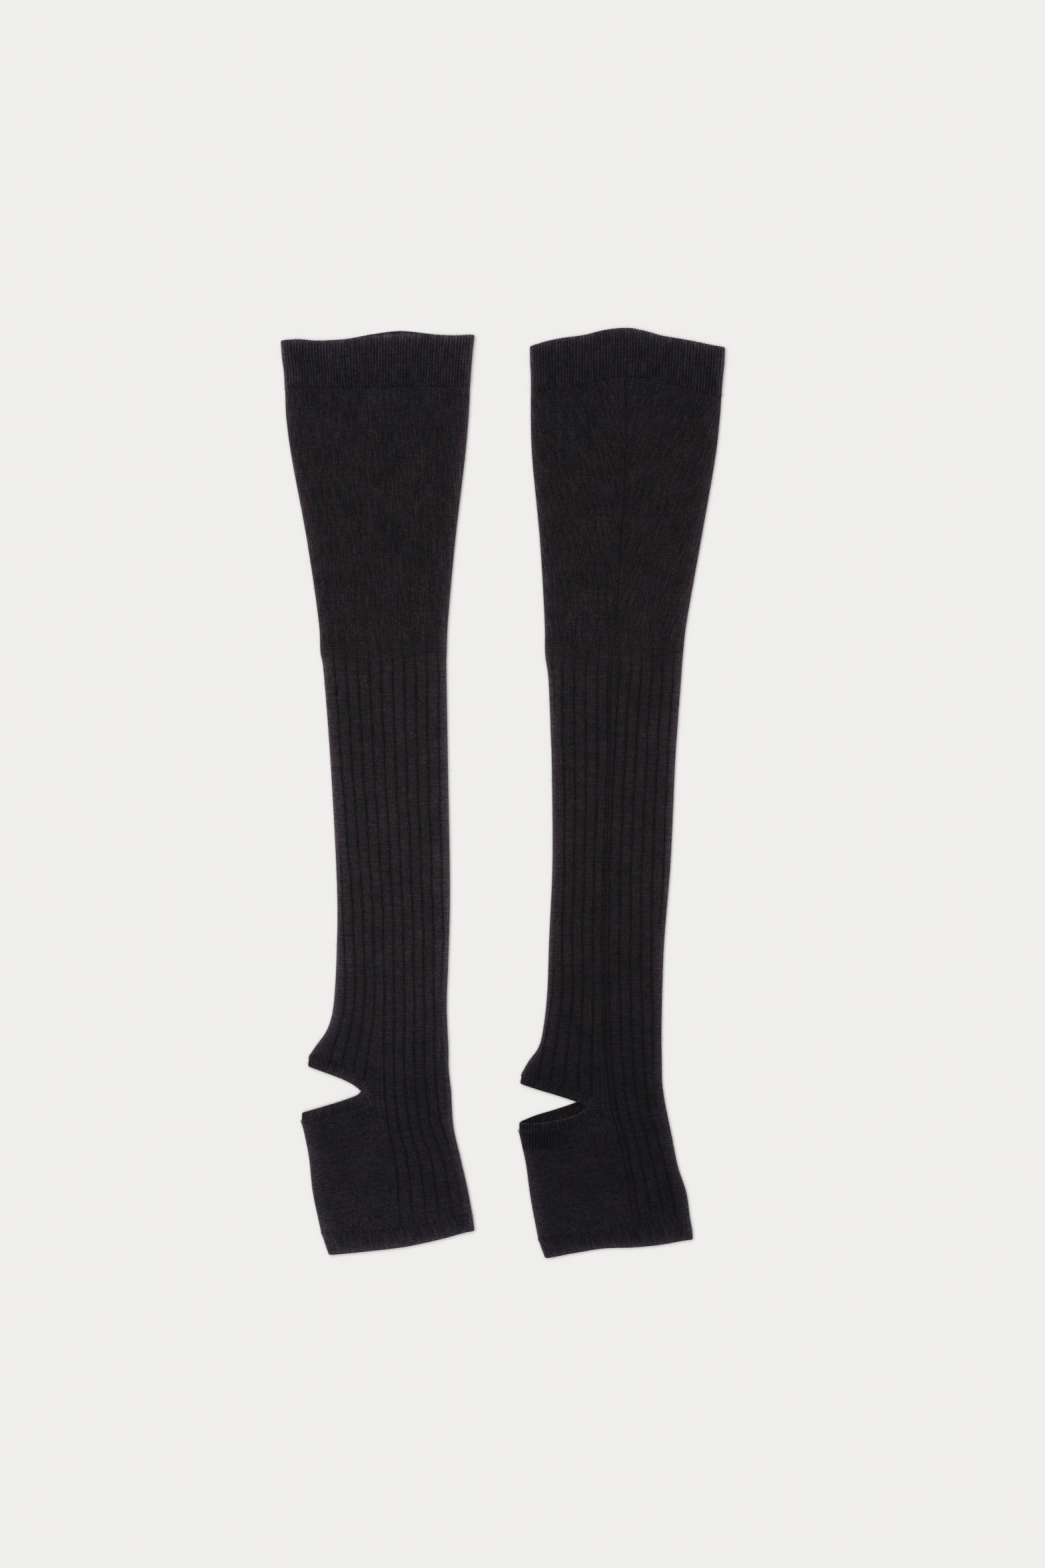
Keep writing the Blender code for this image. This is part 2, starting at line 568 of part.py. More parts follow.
class Cloth:
    """Points and faces of one piece, gathered ring by ring."""

    def __init__(self, anchors, outer_count):
        self.points = []
        self.faces = []
        self.anchors = anchors
        self.outer_count = outer_count

    def add_ring(self, outer, inner, shared=None):
        """Adds a ring's points, or takes those in shared, and returns their indices."""
        result = []
        for group, points in enumerate((outer, inner)):
            indices = []
            for place, point in enumerate(points):
                if shared and place in shared[group]:
                    indices.append(shared[group][place])
                else:
                    indices.append(len(self.points))
                    self.points.append(point)
            result.append(indices)
        return result

    def bridge(self, first, second):
        """Outer and inner faces between two rings."""
        for group in (0, 1):
            count = len(first[group])
            for place in range(count):
                after = (place + 1) % count
                corners = [first[group][place], first[group][after],
                           second[group][after], second[group][place]]
                distinct = list(dict.fromkeys(corners))
                if len(distinct) > 2:
                    self.faces.append(distinct if group == 0 else distinct[::-1])

    def rim(self, ring_indices, open_places=None):
        """Faces that join the outer and inner points along a cut edge."""
        outer, inner = ring_indices
        count = len(inner)
        for place in range(count):
            after = (place + 1) % count
            start, end = self.anchors[place], self.anchors[after]
            if open_places and place not in open_places:
                continue
            if end <= start:
                end += self.outer_count
            run = [outer[step % self.outer_count] for step in range(start, end + 1)]
            for a, b in zip(run, run[1:]):
                self.faces.append([inner[place], a, b])
            self.faces.append([inner[place], run[-1], inner[after]])


def add_object(name, points, faces, axis):
    mesh = bpy.data.meshes.new(name)
    mesh.from_pydata([((x + axis) * MM, y * MM, z * MM) for x, y, z in points], [], faces)
    work = bmesh.new()
    work.from_mesh(mesh)
    bmesh.ops.triangulate(work, faces=work.faces[:], quad_method="SHORT_EDGE")
    bmesh.ops.recalc_face_normals(work, faces=work.faces[:])
    work.to_mesh(mesh)
    work.free()
    mesh.shade_smooth()
    mesh.set_sharp_from_angle(angle=SHARP_ANGLE)
    mesh.materials.append(knit_material(name))
    piece = bpy.data.objects.new(name, mesh)
    bpy.context.scene.collection.objects.link(piece)
    return piece


def knit_material(name):
    material = bpy.data.materials.new(name + "_knit")
    material.use_nodes = True
    shader = material.node_tree.nodes["Principled BSDF"]
    shader.inputs["Base Color"].default_value = KNIT_COLOUR
    shader.inputs["Roughness"].default_value = KNIT_ROUGHNESS
    shader.inputs["Metallic"].default_value = 0.0
    return material


def make_tube(sock):
    """The leg and foot, one tube with a slit at the left fold for the heel."""
    def under_welt(x):
        return curve_at(sock.welt_seam, x) - SEAM_GAP / 2.0

    def over_toe(x):
        return curve_at(sock.toe_seam, x) + SEAM_GAP / 2.0

    leg_sections, foot_sections = rows_between(sock.leg), rows_between(sock.foot)
    leg = tube_rows(sock, leg_sections, leg_sections[-1], "upper")
    leg[0] = level_row(leg[0], under_welt)
    foot = tube_rows(sock, foot_sections, foot_sections[0], "lower")
    foot[-1] = level_row(foot[-1], over_toe)

    columns = near_columns(sock, sock.leg[0])
    tip = tip_column(sock)
    inner_columns = {index for index, column in enumerate(columns) if column.inner} | {tip}
    near_count, far_count = len(columns), len(leg[0].far)
    anchors = inner_anchors(near_count, far_count, inner_columns)
    outer_count = near_count + far_count + 6
    cloth = Cloth(anchors, outer_count)

    tip_place = 2 + tip
    far_tip_place = 5 + near_count + len(FAR_RIGHT)
    previous = None
    for row in leg:
        current = cloth.add_ring(*ring(sock, row, WALL, inner_columns))
        if previous:
            cloth.bridge(previous, current)
        else:
            cloth.rim(current)
        previous = current
    slit_top = previous

    open_inner = {place for place, anchor in enumerate(anchors)
                  if anchor < tip_place or anchor >= far_tip_place}
    shared_outer = {place: slit_top[0][place] for place in range(tip_place, far_tip_place + 1)}
    shared_inner = {place: slit_top[1][place] for place, anchor in enumerate(anchors)
                    if tip_place <= anchor <= far_tip_place}
    slit_foot = cloth.add_ring(*ring(sock, foot[0], WALL, inner_columns),
                               shared=(shared_outer, shared_inner))
    cloth.rim(slit_top, open_inner)
    cloth.rim(slit_foot, open_inner)
    previous = slit_foot
    for row in foot[1:]:
        current = cloth.add_ring(*ring(sock, row, WALL, inner_columns))
        cloth.bridge(previous, current)
        previous = current
    cloth.rim(previous)
    return add_object(sock.name + "_leg", cloth.points, cloth.faces, sock.axis)


def short_tube(sock, name, wall, sides, seam, near_edge, far_edge, depths, rows, sparse):
    """A short tube from its seam to its open edge: the welt and the toe hem.

    sides holds, from the seam outward, the places of the left and the right fold, and
    depths the depth of a groove at each column of the near layer. Only each sparse-th
    column has a point on the inside and on the far layer.
    """
    count = len(sides)
    columns = len(depths) - 1
    inner_columns = set(range(0, columns + 1, sparse))
    far_count = len(inner_columns)
    anchors = inner_anchors(columns + 1, far_count, inner_columns)
    cloth = Cloth(anchors, columns + 1 + far_count + 6)
    start = fold_radius(wall)
    previous = None
    for step in range(rows + 1):
        share = step / rows
        place = share * (count - 1)
        low = min(int(place), count - 2)
        left = mix(sides[low].left, sides[low + 1].left, place - low)
        right = mix(sides[low].right, sides[low + 1].right, place - low)

        def height(x, edge):
            across = (x - left) / (right - left)
            seam_height = curve_at(seam, mix(seam[0].x, seam[-1].x, across))
            edge_height = curve_at(edge, mix(edge[0].x, edge[-1].x, across))
            return mix(seam_height, edge_height, share)

        near, far = [], []
        for index in range(columns + 1):
            x = mix(left + start, right - start, index / columns)
            near.append((x, height(x, near_edge), depths[index]))
            if index in inner_columns:
                far.append((x, height(x, far_edge)))
        row = Row(near, far, (left, height(left, near_edge)), (right, height(right, near_edge)))
        current = cloth.add_ring(*ring(sock, row, wall, inner_columns))
        if previous:
            cloth.bridge(previous, current)
        else:
            cloth.rim(current)
        previous = current
    cloth.rim(previous)
    return add_object(name, cloth.points, cloth.faces, sock.axis)


def make_welt(sock):
    seam = [Edge(edge.x, edge.y + SEAM_GAP / 2.0) for edge in sock.welt_seam]
    depths = [0.0] + [0.0, WELT_GROOVE] * (WELT_RIBS - 1) + [0.0, 0.0]
    return short_tube(sock, sock.name + "_welt", WELT_WALL, sock.welt_sides, seam,
                      sock.welt_near, sock.welt_far, depths, WELT_ROWS, WELT_SPARSE)


def make_toe_hem(sock):
    seam = [Edge(edge.x, edge.y - SEAM_GAP / 2.0) for edge in sock.toe_seam]
    depths = [0.0] * (HEM_COLUMNS + 1)
    return short_tube(sock, sock.name + "_toe_hem", BAND_WALL, sock.toe_sides, seam,
                      sock.toe_edge, sock.toe_edge, depths, HEM_ROWS, HEM_SPARSE)


def band_route(sock):
    """The band's way round the notch: near upper edge, left fold, far edges, left fold, near."""
    radius = fold_radius(BAND_WALL)
    inner_radius = radius - BAND_WALL
    tips = {which: len(notch_edge(sock, which, 0.0)) - 1 for which in NOTCH_EDGES}

    def layer(which, places):
        return [BandPoint(which, place, None, None, None, None) for place in places]

    def fold(which, signs):
        points = []
        for sign in signs:
            bend = math.radians(45.0) * sign
            layer_name = ("near_" if sign >= 0 else "far_") + which
            points.append(BandPoint(
                layer_name, 0,
                radius * (1.0 - math.cos(bend)),
                radius + radius * math.sin(bend),
                radius - inner_radius * math.cos(bend),
                radius + inner_radius * math.sin(bend),
            ))
        return points

    route = layer("near_upper", range(tips["near_upper"], 0, -1))
    route += fold("upper", (2, 1, 0, -1, -2))
    route += layer("far_upper", range(1, tips["far_upper"] + 1))
    route += layer("far_lower", range(tips["far_lower"] - 1, 0, -1))
    route += fold("lower", (-2, -1, 0, 1, 2))
    route += layer("near_lower", range(1, tips["near_lower"]))
    return route


def make_heel_band(sock):
    """The band that binds the open heel: its section carried once round the opening."""
    radius = fold_radius(BAND_WALL)
    edges = {corner.offset: {which: notch_edge(sock, which, corner.offset)
                             for which in NOTCH_EDGES}
             for corner in BAND_SECTION}
    points, rings = [], []
    for spot in band_route(sock):
        section = [band_position(sock, spot, edges[corner.offset], radius, corner)
                   for corner in BAND_SECTION]
        rings.append(range(len(points), len(points) + len(section)))
        points += section
    faces = []
    for index, first in enumerate(rings):
        second = rings[(index + 1) % len(rings)]
        for place in range(len(first)):
            after = (place + 1) % len(first)
            faces.append([first[place], first[after], second[after], second[place]])
    return add_object(sock.name + "_heel_band", points, faces, sock.axis)


def band_position(sock, spot, edges, radius, corner):
    """One point of the band, on a layer or round the left fold."""
    if spot.out_reach is None:
        point = edges[spot.which][spot.place]
        left = edges[spot.which][0]
        distance = max(radius, math.hypot(point.x - left.x, point.y - left.y))
        if spot.which.startswith("far"):
            return (point.x, point.y, 0.0 if corner.outside else BAND_WALL)
        soft = crease_height(sock, point.x, point.y) * smoothstep((distance - radius) / FOLD_FADE)
        height = near_height(BAND_WALL, distance) + soft
        height += corner.lift if corner.outside else -BAND_WALL
        return (point.x, point.y, height)
    if corner.outside:
        place = along(edges[spot.which], spot.out_reach)
        return (place.x, place.y, spot.out_z)
    place = along(edges[spot.which], spot.in_reach)
    return (place.x, place.y, spot.in_z)


def centre_pair(pieces):
    """Moves the meshes so that the origin is under the middle of the pair's box."""
    corners = [vertex.co for piece in pieces for vertex in piece.data.vertices]
    middle_x = (min(c.x for c in corners) + max(c.x for c in corners)) / 2.0
    middle_y = (min(c.y for c in corners) + max(c.y for c in corners)) / 2.0
    for piece in pieces:
        for vertex in piece.data.vertices:
            vertex.co.x -= middle_x
            vertex.co.y -= middle_y


def main():
    for existing in list(bpy.data.objects):
        bpy.data.objects.remove(existing)
    pieces = []
    for sock in (LEFT_SOCK, RIGHT_SOCK):
        pieces.append(make_tube(sock))
        pieces.append(make_welt(sock))
        pieces.append(make_heel_band(sock))
        pieces.append(make_toe_hem(sock))
    centre_pair(pieces)


main()
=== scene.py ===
"""Looks of a pair of black wool stirrup socks: the knitted cloth, its seams and its studio.

The tables are in millimetres: x is measured from the sock's own axis, y along the sock
from the lower end of the pair, and z up from the floor. The finished meshes are in
metres, in the frame of the CAD.
"""

import math
from collections import namedtuple

import bmesh
import bpy
import numpy as np
from mathutils.kdtree import KDTree
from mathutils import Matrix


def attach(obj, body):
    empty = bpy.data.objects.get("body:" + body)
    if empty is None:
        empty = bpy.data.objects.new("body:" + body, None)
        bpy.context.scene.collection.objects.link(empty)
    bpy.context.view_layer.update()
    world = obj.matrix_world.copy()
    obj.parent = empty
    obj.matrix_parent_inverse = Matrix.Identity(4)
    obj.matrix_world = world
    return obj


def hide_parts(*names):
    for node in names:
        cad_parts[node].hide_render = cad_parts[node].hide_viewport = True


MM = 0.001
TURN = 2.0 * math.pi
PAIR_MIDDLE = (0.1, 308.3)      # middle of the pair in the tables, which is the CAD's origin

# The cloth, as in the solids
WALL = 1.4
WELT_WALL = 2.0
BAND_WALL = 1.7
LAYER_GAP = 0.7
FOLD_GAP = 1.4
FOLD_FADE = 4.0
SEAM_GAP = 0.06                 # the seams are drawn up tight
BAND_WIDTH = 7.0
APEX_ROUND = 0.8                # radius at the heel opening's tip
UNEVEN = 0.12                   # height of the small waves of hand-laid cloth

# The wide ribs
GROOVE_DEPTH = 0.8
GROOVE_WIDTH = 0.72             # half width of a groove
UNDER_DEPTH = 0.3               # the ribs are pressed flat under the sock
RIB_CROWN = 0.16
SEAM_DEPTH = 0.4
SEAM_LINE = 0.4                 # half width of the sewn line up the plain leg
SEAM_DARK = 0.95                # how dark that line is: its own dark line and painted shade in its dip
SEAM_WIDTH = 0.55               # half width of each of its lines in the ribs
SEAM_PAIR = 0.9                 # the sewn line becomes two, this far to each side, in the ribs
ROLL_INSET = 3.7                # how near to a fold its last groove may lie
ROLL_PITCH = 2.1                # and how near to each other they may come there
ROLL_FADE = 2.0                 # how fast such a crowded groove fades
GROOVE_HALF = 0.9               # reach of a groove to each side

# The knit
RIB_WALES = 5.0                 # wales to a wide rib, with the one in its groove
WALE = 1.52                     # width of a wale of plain knit
PLAIN_COURSE = 1.1
RIB_COURSE = 1.18
PLAIN_PLACE = 300.0             # courses below 0 are plain knit; threads and small pieces
                                # count theirs from this far below
RIB_START = 405.0               # height where the wide ribs start
PLAIN_LEAN = (0.09, 0.1)        # most lean of the wales, and the height that it comes in over
SEAM_LEANS = ((0.245, 35.0), (-0.37, 20.0))     # left and right of the seam up the back

# Points
ROW_STEP = 2.1
LEG_INNER_STEP = 7              # the hidden faces keep one row in this many
SHORT_INNER_STEP = 6
ARC_STEPS = 6                   # steps over a quarter of a fold
NEAR_INNER = 3                  # columns between two grooves of the near layer
FAR_INNER = 1
GROOVE_OFFSETS = (0.24, 0.5, 0.9)
TIP_COLUMNS = 4                 # more columns beside the opening's tip
EDGE_FRACTIONS = (0.3, 0.6, 0.82)       # more rows beside a seam
EDGE_REACH = 1.1                # how far from a seam the outer face turns in
EDGE_DROP = 0.5                 # how far it turns in
SLIT_FADE = 8.0                 # columns over which that fades in from the opening's tip
DROP_FADE = 1.2                 # it turns in less this near to the height of a fold's middle
OUTLINE_STEP = 0.7
EDGE_STEP = 0.35                # along the opening's edge
TIP_TURNS = 14                  # points round its tip
CORNER_REACH = 4.0              # from the fold to where the opening's edge runs even

EDGE_LIGHT_REACH = 3.0              # how far the painted highlight, where the nap catches light, reaches in from an edge
LIP_LIGHT = 0.9                   # painted highlight on the loops along the edge of the right sock's near band
LIP_REACH = 1.4
GATHER_PITCH = 1.97             # the gathered ribs under the right sock's heel band
GATHER_DOWN = 13.0              # how far down from the band they end
GATHER_ACROSS = 38.0            # how far in from the fold they end
GATHER_ABOVE = 2.2              # only points above this height are gathered
BAND_SEAM = (0.9, 0.8)          # darkness beside the band's seam, and how far it reaches: its own dark line and painted shade in the dip
OPENING_EDGES = ("near_upper", "near_lower", "far_upper", "far_lower")

Section = namedtuple(
    "Section", "left left_y mid mid_y right right_y seam pitch right_pitch ribs heel"
)
Crease = namedtuple("Crease", "x y length width turn height")
Groove = namedtuple("Groove", "x share")
Layer = namedtuple("Layer", "points relief knit")
Stitch = namedtuple("Stitch", "pitch reach radius height slant jitter shift")
Ribs = namedtuple("Ribs", "wall courses count parts depth dark scallop seam_dark seam_reach")
Seam = namedtuple("Seam", "line normal across down")
Sock = namedtuple(
    "Sock",
    "name axis left_grooves right_grooves heel_share has_seam leg foot near_upper near_lower "
    "far_upper far_lower welt_sides welt_near welt_far welt_seam toe_seam toe_edge "
    "toe_sides creases foot_slope band_ribs band_pitch opening_rub gather tones",
)

# Their dark is painted shade in the rib grooves; seam_dark is the seam's own dark line with
# painted shade in the dip beside it
WELT = Ribs(wall=WELT_WALL, courses=28, count=62, parts=6, depth=0.62, dark=0.34,
            scallop=0.35, seam_dark=0.8, seam_reach=1.0)
HEM = Ribs(wall=BAND_WALL, courses=12, count=64, parts=5, depth=0.07, dark=0.16,
           scallop=0.0, seam_dark=0.8, seam_reach=1.15)

# Sections of the leg and the foot: the left edge, the mid line and the right edge, each
# as x and y, the width of the rib that carries the back seam, the pitch of the ribs left
# and right of the mid line, and the strength of the ribs and of the heel's curve.
LEFT_LEG = (
    (-67.4, 577.3, -18, 578, 55.3, 578.6, 0, 10.6, 10.8, 0, 0),
    (-66.6, 557, -17.8, 557, 54.2, 557, 0, 10.5, 10.6, 0, 0),
    (-62.8, 529.5, -17.2, 529.5, 51.7, 529.5, 0, 9.8, 10.2, 0, 0),
    (-53, 476.5, -15.4, 476.5, 45.5, 476.5, 0, 8.4, 9, 0, 0),
    (-45.3, 424, -13, 424, 40.7, 424, 0, 7.7, 7.8, 0.1, 0),
    (-44, 402, -12, 402, 39.8, 402, 0, 7.7, 7.7, 0.5, 0),
    (-41.8, 388, -11.1, 388, 39.6, 388, 0, 7.6, 7.6, 1, 0),
    (-37.1, 326, -8.2, 326, 40.6, 326, 0, 7.2, 7.2, 1, 0),
    (-33, 246.5, -3.3, 246.5, 41.9, 246.5, 0, 6.7, 6.7, 1, 0),
    (-33.2, 202.5, -1.7, 202.5, 41, 202.5, 0, 6.5, 6.6, 1, 0),
    (-34.9, 171.5, -1.5, 171.5, 39.8, 171.5, 0, 6.5, 6.6, 1, 0),
    (-37.1, 158.2, -1.5, 153.4, 40.2, 153.4, 0, 6.7, 6.7, 1, 0.15),
    (-40.7, 149.4, -1.7, 139.7, 40.9, 139.2, 0, 6.7, 6.7, 1, 0.4),
    (-46.4, 141.4, -1.7, 126, 41.1, 125.1, 0, 6.8, 6.8, 1, 0.7),
    (-51.2, 134.6, -1.3, 110.9, 42.7, 110.9, 0, 6.9, 6.9, 1, 1),
)
LEFT_FOOT = (
    (-56.3, 89, -1.3, 110.9, 42.7, 110.9, 0, 6.9, 6.9, 1, 1),
    (-54.3, 80.9, 1.3, 87.5, 44.2, 87.5, 0, 7.1, 7.1, 1, 0.5),
    (-51.4, 65.4, 5.3, 67.6, 48.6, 67.6, 0, 7.6, 7.9, 1, 0.15),
    (-49, 43.3, 7.5, 46.4, 53.5, 46.4, 0, 8.3, 8.4, 1, 0),
    (-43.4, 16.8, 9.7, 19.4, 56.8, 28.7, 0, 8.6, 8.6, 0.6, 0),
)
RIGHT_LEG = (
    (-52.3, 576.1, 10.2, 584.8, 74, 571.5, 2.4, 10.8, 10.4, 0, 0),
    (-52.4, 557, 10.7, 557, 73, 557, 2.4, 10.8, 10.3, 0, 0),
    (-51.4, 529.5, 10.6, 529.5, 69.8, 529.5, 2.4, 10.6, 10, 0, 0),
    (-46.4, 476.5, 7.6, 476.5, 60.6, 476.5, 2.4, 9.4, 8.9, 0, 0),
    (-43.3, 424, 4.3, 424, 51.3, 424, 2.8, 8, 7.6, 0.1, 0),
    (-42.9, 401, 3.7, 401, 48.6, 401, 6.4, 7.7, 7.2, 0.5, 0),
    (-40.7, 384, 3.1, 384, 47.3, 384, 6.6, 7.7, 7.1, 1, 0),
    (-39.2, 348, 1.6, 348, 44.6, 348, 4.8, 7.6, 7.1, 1, 0),
    (-38.5, 326, 1.1, 326, 43.2, 326, 3.5, 7.4, 7.1, 1, 0),
    (-38, 264, -1.5, 264, 40.4, 264, 3.5, 6.7, 7.1, 1, 0),
    (-40.2, 211.5, -2.4, 211.5, 36.2, 211.5, 3.8, 6.8, 7.1, 1, 0),
    (-41.5, 176, -2, 176, 34.8, 176, 3.5, 6.9, 7.1, 1, 0),
    (-44.2, 151.6, -1.2, 149.4, 34.3, 149.4, 3.7, 7.3, 7.1, 1, 0.15),
    (-47.3, 139.7, -0.4, 131.7, 34.5, 131.7, 3.7, 7.3, 7.1, 1, 0.4),
    (-53.9, 130.4, 0.9, 115.8, 34.9, 114.9, 3.6, 7.2, 7.1, 1, 0.7),
    (-58, 123.2, 2.7, 100.3, 37.1, 100.3, 3.6, 7.2, 7.1, 1, 1),
)
RIGHT_FOOT = (
    (-60, 82.6, 2.7, 100.3, 37.1, 100.3, 3.6, 7.2, 7.1, 1, 1),
    (-58, 73.4, 8, 80.9, 41.1, 80.9, 3.6, 7.2, 7.3, 1, 0.5),
    (-55.4, 61, 11.5, 63.2, 45.1, 61, 3.8, 7.4, 7.8, 1, 0.15),
    (-52.4, 38.9, 15, 43.3, 50.8, 43.3, 4.2, 7.8, 8, 1, 0),
    (-47.4, 12.4, 18.6, 22.3, 53.2, 26.1, 4.2, 8, 8, 0.6, 0),
)

LEFT_SOCK = Sock(
    name="left_sock",
    axis=-77.0,
    left_grooves=4,
    right_grooves=6,
    heel_share=(0.29, 0.46, 0.64, 0.82),
    has_seam=False,
    leg=LEFT_LEG,
    foot=LEFT_FOOT,
    near_upper=((-52.3, 127.3), (-45.1, 124.6), (-30.9, 119.3), (-22.1, 114.9), (-17, 110.7)),
    near_lower=((-56.2, 96.4), (-44.2, 99.9), (-30.9, 103.9), (-20.3, 107.8), (-17, 110.7)),
    far_upper=((-52.3, 127.3), (-45.1, 125.2), (-30.9, 120.1), (-22.1, 115.4), (-16.4, 110.9)),
    far_lower=((-56.2, 96.4), (-44.2, 99.4), (-30.9, 103.1), (-20.3, 107.4), (-16.4, 110.9)),
    welt_sides=((-67.6, 55.3), (-68.2, 56.1), (-69.6, 57), (-70.3, 58.3)),
    welt_near=((-70.3, 608.4), (-58.8, 609.1), (-46.4, 608.2), (-26.5, 609.2), (-8.8, 611.2),
               (8.8, 612.2), (26.5, 612.4), (44.2, 611.7), (58.3, 612.2)),
    welt_far=((-70.3, 608.4), (-58.8, 608.6), (-46.4, 607.6), (-26.5, 609.6), (-8.8, 612.8),
              (8.8, 614.8), (26.5, 613.2), (44.2, 611.2), (58.3, 612.2)),
    welt_seam=((-67.6, 577.3), (-35.4, 577.7), (-5.3, 578.1), (26.5, 578.4), (55.3, 578.6)),
    toe_seam=((-43.4, 16.8), (-17.7, 17.7), (9.7, 19.4), (32.7, 23.9), (56.8, 28.7)),
    toe_edge=((-38.4, 2.2), (-13.3, 4.4), (12.4, 7.5), (35.4, 12.4), (58.3, 18.1)),
    toe_sides=((-43.4, 56.8), (-40.9, 57.6), (-38.4, 58.3)),
    creases=(
        Crease(-6, 455, 60, 9, 78, 0.5),
        Crease(22, 352, 45, 8, 95, 0.4),
        Crease(-36, 79, 24, 4, 14, 0.5),
        Crease(-14, 60, 34, 7, 20, -0.35),
        Crease(12, 116, 22, 5, 75, 0.4),
    ),
    foot_slope=0.21,
    band_ribs={"near_upper": 0.25, "far_upper": 0.3, "near_lower": 0.35, "far_lower": 0.3},
    band_pitch={"upper": 1.55, "lower": 1.55},
    opening_rub=0.75,
    gather=0,
    tones=((0, 0.92), (20, 0.9), (45, 0.79), (85, 0.79), (115, 0.82), (170, 1.09),
           (240, 1.22), (300, 1.18), (345, 1.11), (395, 1.08), (408, 0.87),
           (445, 0.84), (525, 0.81), (575, 0.83), (585, 1.03), (612, 1.03)),
)

RIGHT_SOCK = Sock(
    name="right_sock",
    axis=71.0,
    left_grooves=5,
    right_grooves=5,
    heel_share=(0.2, 0.34, 0.5, 0.67, 0.84),
    has_seam=True,
    leg=RIGHT_LEG,
    foot=RIGHT_FOOT,
    near_upper=((-59.5, 115.8), (-49.5, 112.3), (-37.6, 108.7), (-27.8, 105.6), (-19.4, 102.7),
                (-14.1, 100.3)),
    near_lower=((-60, 90), (-49.5, 89.6), (-36.7, 91.3), (-27.8, 93.3), (-21.2, 95.9),
                (-14.1, 100.3)),
    far_upper=((-59.5, 115.8), (-49.5, 112.8), (-37.6, 109.6), (-27.8, 106.9), (-20.5, 103.9)),
    far_lower=((-60, 90), (-49.5, 94.4), (-37.6, 98), (-27.8, 101.2), (-20.5, 103.9)),
    welt_sides=((-52.3, 74), (-52.4, 74.9), (-52.9, 76), (-53, 76.5)),
    welt_near=((-53, 604.7), (-42, 607.8), (-31.4, 610), (-17.2, 611.9), (-3.1, 615.3),
               (11.1, 616.6), (20.3, 615.3), (34.5, 611.5), (53.5, 608.2), (76.5, 603.9)),
    welt_far=((-53, 604.7), (-42, 606.8), (-31.4, 608.6), (-17.2, 610.4), (-3.1, 612.4),
              (11.1, 613.4), (20.3, 612.6), (34.5, 609.8), (53.5, 607), (76.5, 603.9)),
    welt_seam=((-52.3, 576.1), (-37.6, 576.8), (-22.1, 578.6), (-3.1, 583.2), (10.2, 584.8),
               (20.3, 584.3), (34.5, 581.7), (53.5, 576.6), (74, 571.5)),
    toe_seam=((-47.4, 12.4), (-24.3, 15), (-4.4, 18.6), (17.7, 22.1), (35.4, 24.3),
              (53.2, 26.1)),
    toe_edge=((-42.9, 0), (-25.2, 3.1), (-4, 6.4), (15, 7.1), (33.1, 8.8), (55.2, 12.4)),
    toe_sides=((-47.4, 53.2), (-45.2, 54.6), (-42.9, 55.2)),
    creases=(
        Crease(-43, 76, 22, 2.6, 4, 0.8),
        Crease(-42, 70, 24, 2.6, 6, -0.45),
        Crease(-36, 64, 26, 3.4, 8, 0.5),
        Crease(18, 470, 55, 9, 100, 0.4),
        Crease(-20, 340, 50, 8, 85, 0.4),
        Crease(14, 92, 24, 5, 70, 0.35),
    ),
    foot_slope=0.16,
    band_ribs={"near_upper": 0.3, "far_upper": 0.35, "near_lower": 1, "far_lower": 0.4},
    band_pitch={"upper": 1.55, "lower": GATHER_PITCH},
    opening_rub=0.4,
    gather=1,
    tones=((0, 0.7), (20, 0.68), (45, 0.6), (85, 0.59), (115, 0.61), (170, 0.78),
           (250, 0.92), (345, 0.98), (385, 0.98), (400, 0.85), (445, 0.82),
           (525, 0.73), (575, 0.74), (588, 0.9), (616, 0.9)),
)


# Curves

def smoothstep(value):
    value = np.clip(value, 0.0, 1.0)
    return value * value * (3.0 - 2.0 * value)


def mix(start, end, share):
    return start + (end - start) * share


def ridge(phase):
    """A wave that is 1 at each whole number and 0 midway between two."""
    return 0.5 + 0.5 * np.cos(TURN * phase)


def catmull(before, start, end, after, share):
    """A smooth value between start and end, given the values on either side."""
    return 0.5 * (
        2.0 * start
        + (end - before) * share
        + (2.0 * before - 5.0 * start + 4.0 * end - after) * share ** 2
        + (3.0 * start - before - 3.0 * end + after) * share ** 3
    )


def curve_at(edges, x):
    """Height of a smooth curve through the edges at each x."""
    edges = np.array(edges)
    x = np.asarray(x, float)
    index = np.clip(np.searchsorted(edges[:, 0], x, side="left") - 1, 0, len(edges) - 2)
    share = np.clip((x - edges[index, 0]) / (edges[index + 1, 0] - edges[index, 0]), 0.0, 1.0)
    before = edges[np.maximum(index - 1, 0), 1]
    after = edges[np.minimum(index + 2, len(edges) - 1), 1]
    return catmull(before, edges[index, 1], edges[index + 1, 1], after, share)


def smooth_rows(table, span, step):
    """Rows on a smooth curve through the table's, a step apart or less by their span."""
    table = np.array(table, float)
    padded = np.concatenate([table[:1], table, table[-1:]])
    rows = []
    for before, start, end, after in zip(padded, padded[1:], padded[2:], padded[3:]):
        count = max(1, math.ceil(span(start, end) / step))
        rows.append(catmull(before, start, end, after, (np.arange(count) / count)[:, None]))
    return np.concatenate(rows + [table[-1:]])


def smooth_run(edges, step):
    """Points about a step apart on a smooth curve through the edges."""
    return smooth_rows(edges, lambda start, end: np.linalg.norm(end - start), step)


def run_lengths(points):
    """Distance along a run of points, from its start to each of them."""
    steps = np.linalg.norm(np.diff(points, axis=0), axis=1)
    return np.concatenate([[0.0], np.cumsum(steps)])


def along(points, distance):
    """Points at the distances along a run of points."""
    return interpolated(distance, run_lengths(points), points)


def interpolated(places, knots, rows):
    """Each column of the rows, interpolated at the places."""
    return np.stack([np.interp(places, knots, column) for column in rows.T], axis=-1)


